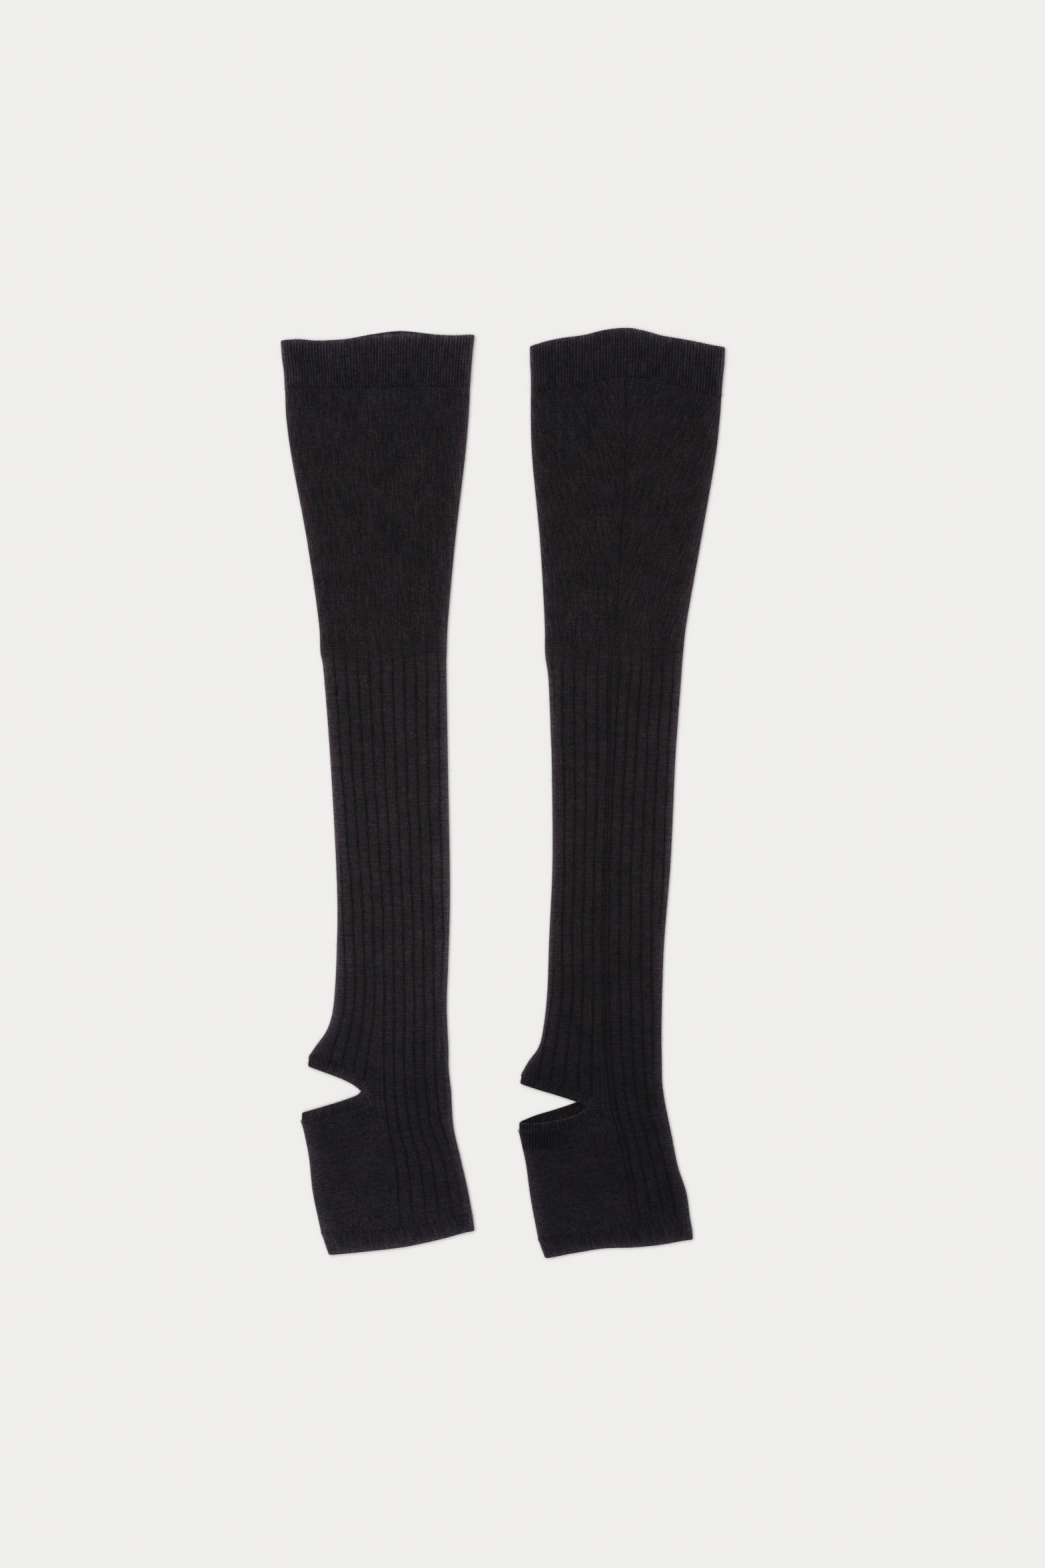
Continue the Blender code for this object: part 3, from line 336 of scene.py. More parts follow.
def stacked(*grids):
    """The grids spread to one shape and put side by side along a new last axis."""
    return np.stack(np.broadcast_arrays(*grids), axis=-1)


def closed(rows):
    """The rows with the first one again at the end."""
    return np.concatenate([rows, rows[:1]])


def unit(vectors):
    """The vectors at length 1."""
    return vectors / np.maximum(np.linalg.norm(vectors, axis=-1, keepdims=True), 1e-9)


def sampled_sections(table):
    """Sections ROW_STEP apart or less, on the same smooth curves as the solids."""
    rows = smooth_rows(table, lambda start, end: start[5] - end[5], ROW_STEP)
    return Section(*rows.T[:, :, None])


# Form of the lying cloth

def fold_radius(wall):
    return wall + FOLD_GAP / 2.0


def near_height(wall, distance):
    """Height of the near layer's outer face at a distance from the nearer fold."""
    beyond = np.maximum(0.0, distance - fold_radius(wall))
    return 2.0 * wall + LAYER_GAP + (FOLD_GAP - LAYER_GAP) * np.exp(-beyond / FOLD_FADE)


def free_share(distance, wall):
    """0 beside a fold, rising to 1 where the near layer lies free of it."""
    return smoothstep((distance - fold_radius(wall)) / FOLD_FADE)


def crease_height(sock, x, y):
    """Soft ridges and troughs of the near layer."""
    total = np.zeros(np.broadcast(x, y).shape)
    for crease in sock.creases:
        turn = math.radians(crease.turn)
        dx, dy = x - crease.x, y - crease.y
        lengthwise = dx * math.cos(turn) + dy * math.sin(turn)
        across = dy * math.cos(turn) - dx * math.sin(turn)
        total += crease.height * np.exp(
            -(2.0 * lengthwise / crease.length) ** 2 - (across / crease.width) ** 2
        )
    return total


def unevenness(x, y, seed):
    """Small waves of hand-laid cloth, always the same, about -1 to 1."""
    total = np.zeros(np.broadcast(x, y).shape)
    waves = ((61.0, 0.3, 0.34), (37.0, 1.9, 0.26), (23.0, 2.6, 0.2), (14.5, 0.9, 0.12),
             (9.0, 2.2, 0.08))
    for index, (length, turn, share) in enumerate(waves):
        angle = turn + 0.37 * seed + 0.8 * index
        phase = (x * math.cos(angle) + y * math.sin(angle)) / length * TURN
        total += share * np.sin(phase + 1.7 * seed + 2.3 * index)
    return total


def section_height(section, x):
    """Height of each section's line at x: straight from side to mid line to side."""
    left = (x - section.left) / (section.mid - section.left)
    right = (x - section.mid) / (section.right - section.mid)
    return np.where(x < section.mid,
                    mix(section.left_y, section.mid_y, left),
                    mix(section.mid_y, section.right_y, right))


def groove_places(sock, section):
    """Grooves across each section, left of the mid line and right of it."""
    left, right = [], []
    for step in range(sock.left_grooves, 0, -1):
        free = section.mid - section.seam / 2.0 - section.pitch * step
        limit = section.left + ROLL_INSET + ROLL_PITCH * (sock.left_grooves - step)
        left.append(open_groove(np.maximum(free, limit), limit - free, section.pitch))
    for step in range(1, sock.right_grooves + 1):
        free = section.mid + section.seam / 2.0 + section.right_pitch * step
        limit = section.right - ROLL_INSET - ROLL_PITCH * (sock.right_grooves - step)
        right.append(open_groove(np.minimum(free, limit), free - limit, section.right_pitch))
    return left, right


def open_groove(place, beyond, pitch):
    return Groove(place, smoothstep(1.0 - ROLL_FADE * np.maximum(0.0, beyond) / pitch))


def mid_grooves(sock, section):
    """The one groove on the mid line, or the two beside the back seam's rib."""
    if sock.has_seam:
        return [section.mid - section.seam / 2.0, section.mid + section.seam / 2.0]
    return [section.mid]


def tip_place(sock, section):
    """The column that ends at the tip of the heel opening."""
    last = groove_places(sock, section)[0][-1].x + GROOVE_HALF
    return mix(last, mid_grooves(sock, section)[0] - GROOVE_HALF, 0.8)


def stretch(start, end, groove_at_start, groove_at_end, inner):
    """Columns from start up to end, close together beside a groove."""
    reach = np.minimum(1.0, 0.42 * (end - start) / GROOVE_OFFSETS[-1])
    offsets = [offset * reach for offset in GROOVE_OFFSETS]
    leading = [start + offset for offset in offsets] if groove_at_start else []
    ending = [end - offset for offset in offsets[::-1]] if groove_at_end else []
    low = ([start] + leading)[-1]
    high = (ending + [end])[0]
    between = [mix(low, high, step / (inner + 1)) for step in range(1, inner + 1)]
    return [start] + leading + between + ending


def layer_columns(sock, section, inner):
    """Places of one layer's columns, and which of them is at the opening's tip."""
    left, right = groove_places(sock, section)
    radius = fold_radius(WALL)
    stops = [(section.left + radius, False)]
    stops += [(groove.x, True) for groove in left]
    stops.append((tip_place(sock, section), False))
    stops += [(place, True) for place in mid_grooves(sock, section)]
    stops += [(groove.x, True) for groove in right]
    stops.append((section.right - radius, False))
    columns, tip = [], 0
    for index, (start, end) in enumerate(zip(stops, stops[1:])):
        at_tip = index == 1 + len(left)
        if at_tip:
            tip = len(columns)
        columns += stretch(start[0], end[0], start[1], end[1], inner + TIP_COLUMNS * at_tip)
    return np.concatenate(columns + [stops[-1][0]], axis=1), tip


def sway(x, y):
    """The slight sideways wander of the ribs, in millimetres."""
    return 0.2 * np.sin(y / 8.7 + 0.06 * x) + 0.13 * np.sin(y / 3.9 + 0.1 * x + 1.0)


def leaned(lean, above):
    """How far the wales of the plain leg have leaned sideways, by height above the ribs."""
    most, reach = lean
    return most * (above - reach * (1.0 - np.exp(-above / reach)))


def wale_numbers(section, x, y, foot, start, seamed):
    """How many wales each point lies from the mid line; start is the wide ribs' first section."""
    half_seam = section.seam / 2.0
    if foot:
        sole = (x - section.mid + half_seam) / WALE
        ribs = RIB_WALES * (x - section.mid - half_seam) / section.right_pitch
        return np.where(x < section.mid, sole, ribs)
    above = np.maximum(0.0, y - RIB_START)
    plain = y > RIB_START
    mid, half_seam, pitch, right_pitch = (np.where(plain, there, here) for there, here in (
        (start.mid, section.mid), (start.seam / 2.0, half_seam),
        (start.pitch, section.pitch), (start.right_pitch, section.right_pitch)))
    if seamed:
        drift = np.where(plain, section.mid - start.mid, 0.0)
        left_x, right_x = (x + leaned(lean, above) for lean in SEAM_LEANS)
        left = RIB_WALES * (left_x - mid + half_seam) / pitch
        right = RIB_WALES * (right_x - mid - half_seam) / right_pitch
        return np.where(x < mid + drift, left, right)
    traced = x + leaned(PLAIN_LEAN, above)
    return RIB_WALES * (traced - mid) / np.where(traced < mid, pitch, right_pitch)


def picked(section, rows):
    """Some rows of the sections."""
    return Section(*(column[rows] for column in section))


def sampled_at(sock, height):
    """The section of the leg at a height."""
    section = sampled_sections(sock.leg)
    index = int(np.argmin(np.abs(section.mid_y - height)))
    return picked(section, slice(index, index + 1))


def course_numbers(sock, section, x, y, foot):
    """How many courses each point lies below the start of the wide ribs."""
    line = y - sock.foot_slope * (x - section.mid) if foot else section.mid_y + 0.0 * x
    above = np.maximum(0.0, line - RIB_START)
    below = np.minimum(0.0, line - RIB_START)
    return -(above / PLAIN_COURSE + below / RIB_COURSE)


def layer_relief(sock, section, x, foot, depth, seamed):
    """How far the grooves go into one layer."""
    left, right = groove_places(sock, section)
    strength = section.ribs * depth
    total = sum(strength * groove.share * groove_shape(x - groove.x)
                for groove in (right if foot else left + right))
    places = mid_grooves(sock, section)
    if not seamed:
        return total + sum(strength * groove_shape(x - place) for place in places)
    apart = SEAM_PAIR * (0.0 if foot else 1.0) * (1.0 - section.heel)
    sewn = np.maximum(*(np.exp(-((x - places[0] + side * apart) / SEAM_WIDTH) ** 2)
                        for side in (-1.0, 1.0)))
    sewn = sewn + sum(groove_shape(x - place) for place in places[1:])
    line = SEAM_DEPTH * depth / GROOVE_DEPTH * sewn_line(section, x)
    return total + mix(strength * sewn, line, plain_share(section))


def sewn_line(section, x):
    """The one thin line that the seam is in the plain leg."""
    return np.exp(-((x - section.mid) / SEAM_LINE) ** 2)


def plain_share(section):
    """1 where the leg is plain, falling to 0 where its wide ribs are well begun."""
    return np.clip(1.0 - 2.0 * section.ribs, 0.0, 1.0)


def groove_shape(distance):
    return np.exp(-(distance / GROOVE_WIDTH) ** 2)


def notch_edge(sock, which, offset):
    """One edge of the heel opening, from the fold to its tip, moved outward by offset."""
    edges = getattr(sock, which)
    upper = which.endswith("upper")
    row = sock.leg[-1] if upper else sock.foot[0]
    fine = smooth_run(edges, EDGE_STEP)
    run = fine[:-1]
    step = fine[1:] - np.concatenate([run[:1], run[:-1]])
    angle = np.arctan2(step[:, 1], step[:, 0]) + (0.5 if upper else -0.5) * math.pi
    share = offset / (BAND_WIDTH + SEAM_GAP)
    corner = np.array([row[0] - edges[0][0], row[1] - edges[0][1]]) * share
    settle = np.clip(run_lengths(run) / CORNER_REACH, 0.0, 1.0)[:, None]
    side = run + mix(corner, directions(angle) * offset, settle)
    centre = np.array([edges[-1][0] - APEX_ROUND, edges[-1][1]])
    turns = angle[-1] * (1.0 - np.arange(1, TIP_TURNS + 1) / TIP_TURNS)
    return np.concatenate([side, centre + (APEX_ROUND + offset) * directions(turns)])


def directions(angles):
    return stacked(np.cos(angles), np.sin(angles))


def near_shares(sock, slit, x, length, tip):
    """How far along the opening's edge each near column meets it, from 0 to 1."""
    left, _ = groove_places(sock, slit)
    places = [slit.left + fold_radius(WALL)]
    shares = [fold_radius(WALL) / length]
    for groove, share in zip(left, sock.heel_share):
        places += [groove.x + side * GROOVE_HALF for side in (-1.0, 0.0, 1.0)]
        shares += [share + side * GROOVE_HALF / length for side in (-1.0, 0.0, 1.0)]
    places = [float(np.ravel(place)[0]) for place in places + [x[0, tip]]]
    return np.interp(x[0], places, shares + [1.0])


def far_shares(x, length, tip):
    start = x[0, 0]
    share = (x[0] - start) / (x[0, tip] - start)
    return np.interp(share, [0.0, 0.12, 1.0], [fold_radius(WALL) / length, 0.12, 1.0])


def opening_moves(sock, slit, x, tip, layer, slit_name):
    """How far each column moves on the slit's row to lie on the opening's edge."""
    edge = notch_edge(sock, layer + "_" + slit_name, BAND_WIDTH + SEAM_GAP)
    length = run_lengths(edge)[-1]
    if layer == "near":
        shares = near_shares(sock, slit, x, length, tip)
    else:
        shares = far_shares(x, length, tip)
    goals = along(edge, shares * length)
    moves = goals - np.stack([x[0], section_height(slit, x)[0]], axis=1)
    end = float(np.ravel(mid_grooves(sock, slit)[0])[0]) - GROOVE_HALF
    fade = np.clip((end - x[0]) / (end - x[0, tip]), 0.0, 1.0)[:, None]
    beyond = moves[tip] * fade
    return np.where(np.arange(len(moves))[:, None] <= tip, moves, beyond)


def tube_layer(sock, section, slit, slit_name, layer, inner):
    """Points, relief and knit coordinates of one layer of the leg or the foot."""
    foot = slit_name == "lower"
    seamed = sock.has_seam == (layer == "near")
    depth = GROOVE_DEPTH if layer == "near" else UNDER_DEPTH
    x, tip = layer_columns(sock, section, inner)
    slit_x, _ = layer_columns(sock, slit, inner)
    moves = opening_moves(sock, slit, slit_x, tip, layer, slit_name)
    y = section_height(section, x)
    wales = wale_numbers(section, x, y, foot, sampled_at(sock, RIB_START), seamed)
    courses = course_numbers(sock, section, x, y, foot)
    relief = layer_relief(sock, section, x, foot, depth, seamed)
    moved_x = x + moves[:, 0] * section.heel
    moved_y = y + moves[:, 1] * section.heel
    z = np.zeros_like(x)
    if layer == "near":
        distance = np.minimum(np.hypot(moved_x - section.left, moved_y - section.left_y),
                              np.hypot(section.right - moved_x, section.right_y - moved_y))
        soft = free_share(distance, WALL)
        z = near_height(WALL, distance)
        z += crease_height(sock, moved_x, moved_y) * soft
        moved_x = moved_x + sway(moved_x, moved_y) * soft * (1.0 - section.heel)
        z += UNEVEN * unevenness(moved_x, moved_y, sock.axis) * soft
        ribbed = section.ribs * (x > section.mid if foot else 1.0)
        share = wales / RIB_WALES - np.floor(wales / RIB_WALES)
        z += RIB_CROWN * ribbed * 4.0 * share * (1.0 - share) * soft
    wales = even_wales(section, moved_x, moved_y, wales, tip, inner)
    # Painted shade: as dark as the groove is deep
    tone = np.clip(relief / depth, 0.0, 1.0)
    # The sewn line up the plain leg: its own dark line and painted shade in its dip
    if seamed and not foot:
        tone = mix(tone, SEAM_DARK * sewn_line(section, x), plain_share(section))
    points = np.stack([moved_x, moved_y, z], axis=-1)
    return Layer(points, relief, np.stack([wales, courses, tone], axis=-1)), tip


def arc_points(side, start, wall, angles, reach):
    """Points round a fold at a reach from its middle, from the angles above or below it."""
    radius = fold_radius(wall)
    share = 1.0 - reach / radius * np.cos(angles)
    flat = side[:, None, :] + (start[:, None, :2] - side[:, None, :]) * share[None, :, None]
    return stacked(flat[..., 0], flat[..., 1], radius + reach * np.sin(angles))


def arc_knit(knit, wall, angles, sign):
    """Knit coordinates round a fold, counted on from the layer's first column."""
    reach = fold_radius(wall) * (math.pi / 2.0 - np.abs(angles)) / WALE
    result = np.repeat(knit[:, None, :], len(angles), axis=1)
    result[..., 0] += sign * reach
    result[..., 2] = 0.0
    return result


def even_wales(section, moved_x, moved_y, wales, tip, inner):
    """Spreads the wales evenly between the grooves on either side of the opening's tip."""
    offsets = len(GROOVE_OFFSETS)
    low = tip - offsets - inner - 1
    high = tip + offsets + inner + TIP_COLUMNS + 1
    steps = np.hypot(np.diff(moved_x[:, low:high + 1], axis=1),
                     np.diff(moved_y[:, low:high + 1], axis=1))
    share = np.concatenate([0.0 * steps[:, :1], np.cumsum(steps, axis=1)], axis=1)
    share /= share[:, -1:]
    even = mix(wales[:, low:low + 1], wales[:, high:high + 1], share)
    wales = wales.copy()
    wales[:, low:high + 1] = mix(wales[:, low:high + 1], even, np.clip(section.heel * 3.0, 0, 1))
    return wales


def ring_grid(near, far, left, right, wall):
    """Outer and inner points and knit coordinates of a flattened tube, ring by ring."""
    up = np.radians(np.linspace(0.0, 90.0, ARC_STEPS + 1))
    outer, inner, knit = [], [], []

    def fold(side, layer, column, angles, sign):
        start = layer.points[:, column]
        outer.append(arc_points(side, start, wall, angles, fold_radius(wall)))
        inner.append(arc_points(side, start, wall, angles, FOLD_GAP / 2.0))
        knit.append(arc_knit(layer.knit[:, column], wall, angles, sign))

    def sheet(layer, turn):
        order = slice(None, None, -turn)
        for grids, lift in ((outer, layer.relief), (inner, wall)):
            points = layer.points.copy()
            points[..., 2] += turn * lift
            grids.append(points[:, order])
        knit.append(layer.knit[:, order])

    fold(left, near, 0, up[:-1], -1.0)
    sheet(near, -1)
    fold(right, near, -1, up[-2:0:-1], 1.0)
    fold(right, far, -1, -up[:-1], 1.0)
    sheet(far, 1)
    fold(left, far, 0, -up[-2:0:-1], -1.0)
    return [np.concatenate(parts, axis=1) for parts in (outer, inner, knit)]


def side_points(section):
    """The two side lines of the sections."""
    return (np.concatenate([section.left, section.left_y], axis=1),
            np.concatenate([section.right, section.right_y], axis=1))


def with_edge_rows(grid, at_end):
    """The grid with more rows beside its first or last one."""
    if at_end:
        return with_edge_rows(grid[::-1], False)[::-1]
    shares = np.array(EDGE_FRACTIONS)[::-1]
    extra = [mix(grid[0], grid[1], 1.0 - share)[None] for share in shares]
    return np.concatenate([grid[:1]] + extra + [grid[1:]])


# Meshes

class Cloth:
    """Points, knit coordinates and faces of one piece."""

    def __init__(self):
        self.points = []
        self.knit = []
        self.faces = []
        self.count = 0

    def add(self, points, knit):
        """Adds a grid of points and returns their indices."""
        shape = points.shape[:-1]
        self.points.append(points.reshape(-1, 3))
        self.knit.append(np.broadcast_to(knit, points.shape).reshape(-1, 3))
        indices = np.arange(self.count, self.count + int(np.prod(shape))).reshape(shape)
        self.count += indices.size
        return indices

    def skin(self, indices):
        """Faces over a grid of indices, its last column joined to its first."""
        after = np.roll(indices, -1, axis=1)
        quads = np.stack([indices[:-1], after[:-1], after[1:], indices[1:]], axis=-1)
        self.faces += quads.reshape(-1, 4).tolist()

    def rim(self, outer, inner, columns=None):
        """Faces that join the outer and inner points of one ring, where columns says so."""
        quads = np.stack([outer, np.roll(outer, -1), np.roll(inner, -1), inner], axis=-1)
        if columns is not None:
            quads = quads[columns & np.roll(columns, -1)]
        self.faces += quads.tolist()


def sock_outline(sock):
    """Points round the sock's sides and ends, close together."""
    runs = [side for table in (sock.leg, sock.foot)
            for side in side_points(sampled_sections(table))]
    runs += [smooth_run(edge, OUTLINE_STEP) for edge in (sock.welt_near, sock.toe_edge)]
    for table, low, high in ((sock.welt_sides, sock.welt_seam, sock.welt_near),
                             (sock.toe_sides, sock.toe_seam, sock.toe_edge)):
        for end in (0, -1):
            run = [(table[0][end], low[end][1]), (table[-1][end], high[end][1])]
            runs.append(smooth_run(run, OUTLINE_STEP))
    return np.concatenate([along(run, np.arange(0.0, run_lengths(run)[-1], OUTLINE_STEP))
                           for run in runs])


def edge_line(sock, which):
    """Points along one edge of the heel opening, at its layer's height."""
    run = smooth_run(getattr(sock, which), OUTLINE_STEP)
    height = 0.5 * BAND_WALL
    if which.startswith("near"):
        height = near_height(BAND_WALL, np.linalg.norm(run - run[0], axis=1)) - height
    return np.column_stack([run, height + 0.0 * run[:, 0]])


def nearest_distances(targets, points):
    tree = KDTree(len(targets))
    for index, target in enumerate(targets.tolist()):
        tree.insert(target, index)
    tree.balance()
    return np.array([tree.find(point)[2] for point in points.tolist()])


def gathered(sock, points):
    """How strongly the cloth is gathered: just below the near heel band, by the fold."""
    down = curve_at(sock.near_lower, points[:, 0]) - BAND_WIDTH - points[:, 1]
    across = points[:, 0] - sock.near_lower[0][0]
    share = smoothstep((down + 1.0) / 2.0) * smoothstep((GATHER_DOWN - down) / 4.0)
    share *= smoothstep((GATHER_ACROSS - across) / 24.0) * (points[:, 2] > GATHER_ABOVE)
    return sock.gather * share


def point_marks(sock, points):
    """Painted highlight on the edges, where the nap catches light, gathers and a brightness that
    changes with height along the sock, from 0 to about 1 each.
    """
    heights, tones = np.array(sock.tones).T
    outline = sock_outline(sock)
    outline = np.column_stack([outline, 0.0 * outline[:, 0]])
    sides = nearest_distances(outline, points * np.array([1.0, 1.0, 0.0]))
    edges = [edge_line(sock, which) for which in OPENING_EDGES]
    opening = nearest_distances(np.concatenate(edges), points)
    # Painted highlight: lighter near the outline and near the heel opening's edges
    painted_edge_light = np.maximum(np.exp(-sides / EDGE_LIGHT_REACH),
                        sock.opening_rub * np.exp(-1.3 * opening / EDGE_LIGHT_REACH))
    # Painted highlight along the edge of the right sock's near heel band
    lip = nearest_distances(edge_line(sock, "near_lower"), points)
    painted_edge_light = np.maximum(painted_edge_light, LIP_LIGHT * sock.gather * np.exp(-(lip / LIP_REACH) ** 2))
    return np.column_stack([painted_edge_light, gathered(sock, points),
                            np.interp(points[:, 1], heights, tones)])


def table_place(sock):
    """Where the tables' origin for this sock lies in the frame, in millimetres."""
    return np.array([sock.axis - PAIR_MIDDLE[0], -PAIR_MIDDLE[1], 0.0])


def build_mesh(name, cloth, sock):
    """A mesh object of the cloth, with the knit and the marks of each point."""
    points = np.concatenate(cloth.points)
    mesh = bpy.data.meshes.new(name)
    mesh.from_pydata(((points + table_place(sock)) * MM).tolist(), [], cloth.faces)
    for key, values in (("knit", np.concatenate(cloth.knit)),
                        ("marks", point_marks(sock, points))):
        attribute = mesh.attributes.new(key, "FLOAT_VECTOR", "POINT")
        attribute.data.foreach_set("vector", values.astype(np.float32).ravel())
    work = bmesh.new()
    work.from_mesh(mesh)
    bmesh.ops.recalc_face_normals(work, faces=work.faces[:])
    work.to_mesh(mesh)
    work.free()
    mesh.shade_smooth()
    mesh.set_sharp_from_angle(angle=math.radians(75.0))
    piece = bpy.data.objects.new(name, mesh)
    bpy.context.scene.collection.objects.link(piece)
    return piece


def drop_rows(outer, knit, wall, from_end, dark, weight=1.0):
    """Turns the outer face in towards the wall beside its first or last row.

    dark is how dark the cloth is beside the seam, and how far that reaches: the seam's own dark
    line and painted shade in the dip where the cloth turns in.
    """
    order = slice(None, None, -1) if from_end else slice(None)
    grid, marks = outer[order], knit[order]
    distance = np.linalg.norm(grid[:, :, :2] - grid[:1, :, :2], axis=2)
    drop = EDGE_DROP * np.clip(1.0 - distance / EDGE_REACH, 0.0, 1.0) ** 2 * weight
    above = grid[..., 2] - fold_radius(wall)
    grid[..., 2] -= np.clip(above / DROP_FADE, -1.0, 1.0) * drop
    shade = dark[0] * np.clip(1.25 - distance / dark[1], 0.0, 1.0) * weight
    marks[..., 2] = np.maximum(marks[..., 2], shade)


def inner_rows(inner, step):
    """The rows of the hidden face that are kept: every step and the last one."""
    return sorted(set(range(0, len(inner), step)) | {len(inner) - 1})


def make_leg(sock, under_welt, over_toe):
    """The leg and foot, one tube with a slit through its left fold for the heel."""
    leg, tips = tube_part(sock, sock.leg, "upper", under_welt)
    foot, _ = tube_part(sock, sock.foot, "lower", over_toe)
    count = leg[0].shape[1]
    places = np.arange(count)
    near_tip = ARC_STEPS + tips[0]
    far_tip = count - ARC_STEPS - tips[1]
    fade = np.minimum(np.abs(places - near_tip), np.abs(places - far_tip))
    slit = ((places < near_tip) | (places > far_tip)) * np.clip(fade / SLIT_FADE, 0.0, 1.0)
    drop_rows(leg[0], leg[2], WALL, False, (WELT.seam_dark, WELT.seam_reach))
    drop_rows(leg[0], leg[2], WALL, True, BAND_SEAM, slit)
    drop_rows(foot[0], foot[2], WALL, False, BAND_SEAM, slit)
    drop_rows(foot[0], foot[2], WALL, True, (HEM.seam_dark, HEM.seam_reach))

    cloth = Cloth()
    faces = []
    for outer, inner, knit in (leg, foot):
        rows = inner_rows(inner, LEG_INNER_STEP)
        faces.append((cloth.add(outer, knit), cloth.add(inner[rows], knit[rows])))
    shared = slice(near_tip, far_tip + 1)
    for above, below in zip(*faces):
        below[0, shared] = above[-1, shared]
    for grid in (*faces[0], *faces[1]):
        cloth.skin(grid)
    open_places = (places <= near_tip) | (places >= far_tip)
    for (shown, hidden), end, where in (
            (faces[0], 0, None), (faces[0], -1, open_places),
            (faces[1], 0, open_places), (faces[1], -1, None)):
        cloth.rim(shown[end], hidden[end], where)
    drop_unused(cloth)
    return build_mesh(sock.name + "_leg_knit", cloth, sock)


def drop_unused(cloth):
    """Leaves out the points that no face uses."""
    points = np.concatenate(cloth.points)
    knit = np.concatenate(cloth.knit)
    used = np.zeros(len(points), bool)
    faces = np.array(cloth.faces)
    used[faces.ravel()] = True
    order = np.cumsum(used) - 1
    cloth.points = [points[used]]
    cloth.knit = [knit[used]]
    cloth.faces = order[faces].tolist()


def tube_part(sock, table, slit_name, end_height):
    """Outer, inner and knit grids of the leg or the foot, and the columns at the tips."""
    section = sampled_sections(table)
    upper = slit_name == "upper"
    end = 0 if upper else -1
    slit = picked(section, slice(-1, None) if upper else slice(0, 1))
    near, near_tip = tube_layer(sock, section, slit, slit_name, "near", NEAR_INNER)
    far, far_tip = tube_layer(sock, section, slit, slit_name, "far", FAR_INNER)
    left, right = side_points(section)
    for grid in (near.points, far.points):
        grid[end, :, 1] = end_height(grid[end, :, 0])
    for side in (left, right):
        side[end, 1] = end_height(side[end, 0])
    grids = ring_grid(near, far, left, right, WALL)
    grids = [with_edge_rows(with_edge_rows(grid, False), True) for grid in grids]
    return grids, (near_tip, far_tip)


def short_tube(sock, name, kind, sides, seam, near_edge, far_edge):
    """A short tube from its seam to its open, turned edge: the welt and the toe hem."""
    share = np.linspace(0.0, 1.0, kind.courses + 1)[:, None]
    sides = interpolated(share[:, 0] * (len(sides) - 1), np.arange(len(sides)), np.array(sides))
    left, right = sides[:, :1], sides[:, 1:]
    start = fold_radius(kind.wall)
    columns = np.linspace(0.0, 1.0, kind.count * kind.parts + 1)[None, :]
    x = mix(left + start, right - start, columns)

    def height(x, edge):
        across = (x - left) / (right - left)
        seam_y = curve_at(seam, mix(seam[0][0], seam[-1][0], across))
        edge_y = curve_at(edge, mix(edge[0][0], edge[-1][0], across))
        return mix(seam_y, edge_y, share)

    layers = []
    phase = columns * kind.count
    profile = ridge(phase)
    groove = profile ** 1.5
    # Painted shade in the rib grooves
    knit = stacked(phase, share * kind.courses - PLAIN_PLACE, kind.dark * groove)
    for edge, depth in ((near_edge, kind.depth), (far_edge, 0.5 * kind.depth)):
        y = height(x, edge) + kind.scallop * (1.0 - profile) * share ** 6
        z = np.zeros_like(x)
        if not layers:
            distance = np.minimum(x - left, right - x)
            soft = free_share(distance, kind.wall)
            z = near_height(kind.wall, distance) + crease_height(sock, x, y) * soft
            z += UNEVEN * unevenness(x, y, sock.axis) * soft
        layers.append(Layer(stacked(x, y, z), depth * groove, knit))
    folds = [np.concatenate([side, height(side, near_edge)], axis=1) for side in (left, right)]
    return close_tube(sock, name, kind, *ring_grid(*layers, *folds, kind.wall))


def ring_seam(outer, inner, wall):
    """The seam at the first row of a short tube."""
    normal = unit(outer[0] - inner[0])
    across = outer[0] - outer[2]
    across[:, 2] = 0.0
    return Seam(outer[0].copy(), normal, across, (normal[:, 2] + 1.0) * (wall - WALL))


def close_tube(sock, name, kind, outer, inner, knit):
    """Joins the outer and inner faces with a round turned edge and a seam edge."""
    seam = ring_seam(outer, inner, kind.wall)
    outer, inner, knit = (with_edge_rows(grid, False) for grid in (outer, inner, knit))
    drop_rows(outer, knit, kind.wall, False, (kind.seam_dark, kind.seam_reach))
    cloth = Cloth()
    turned = turned_edge(outer, inner, kind.wall)
    rows = inner_rows(inner, SHORT_INNER_STEP)
    shown = cloth.add(outer, knit)
    round_edge = cloth.add(turned, np.repeat(knit[-1:], len(turned), axis=0))
    hidden = cloth.add(inner[rows], knit[rows])
    cloth.skin(np.concatenate([shown, round_edge, hidden[::-1]]))
    cloth.rim(shown[0], hidden[0])
    return build_mesh(sock.name + name, cloth, sock), seam


def turned_edge(outer, inner, wall):
    """Rows round the free edge, which move its last outer and inner rows back to make room."""
    ahead = outer[-1] - outer[-2]
    ahead[:, 2] = 0.0
    ahead = unit(ahead) * (wall / 2.0)
    outer[-1] -= ahead
    inner[-1] -= ahead
    middle = (outer[-1] + inner[-1]) / 2.0
    half = (outer[-1] - inner[-1]) / 2.0
    return np.stack([middle + half * math.cos(angle) + ahead * math.sin(angle)
                     for angle in np.radians([30.0, 60.0, 90.0, 120.0, 150.0])])


# The heel band

BAND_OFFSETS = (0.0, 0.25, 0.7, 1.4, 2.4, 3.5, 4.3, 4.8, 5.3, 5.9, 6.4, 6.75, 7.0)
BAND_LIFTS = (-0.75, -0.3, 0.0, 0.12, 0.16, 0.16, 0.12, 0.0, 0.0, 0.12, 0.0, -0.2, -0.45)
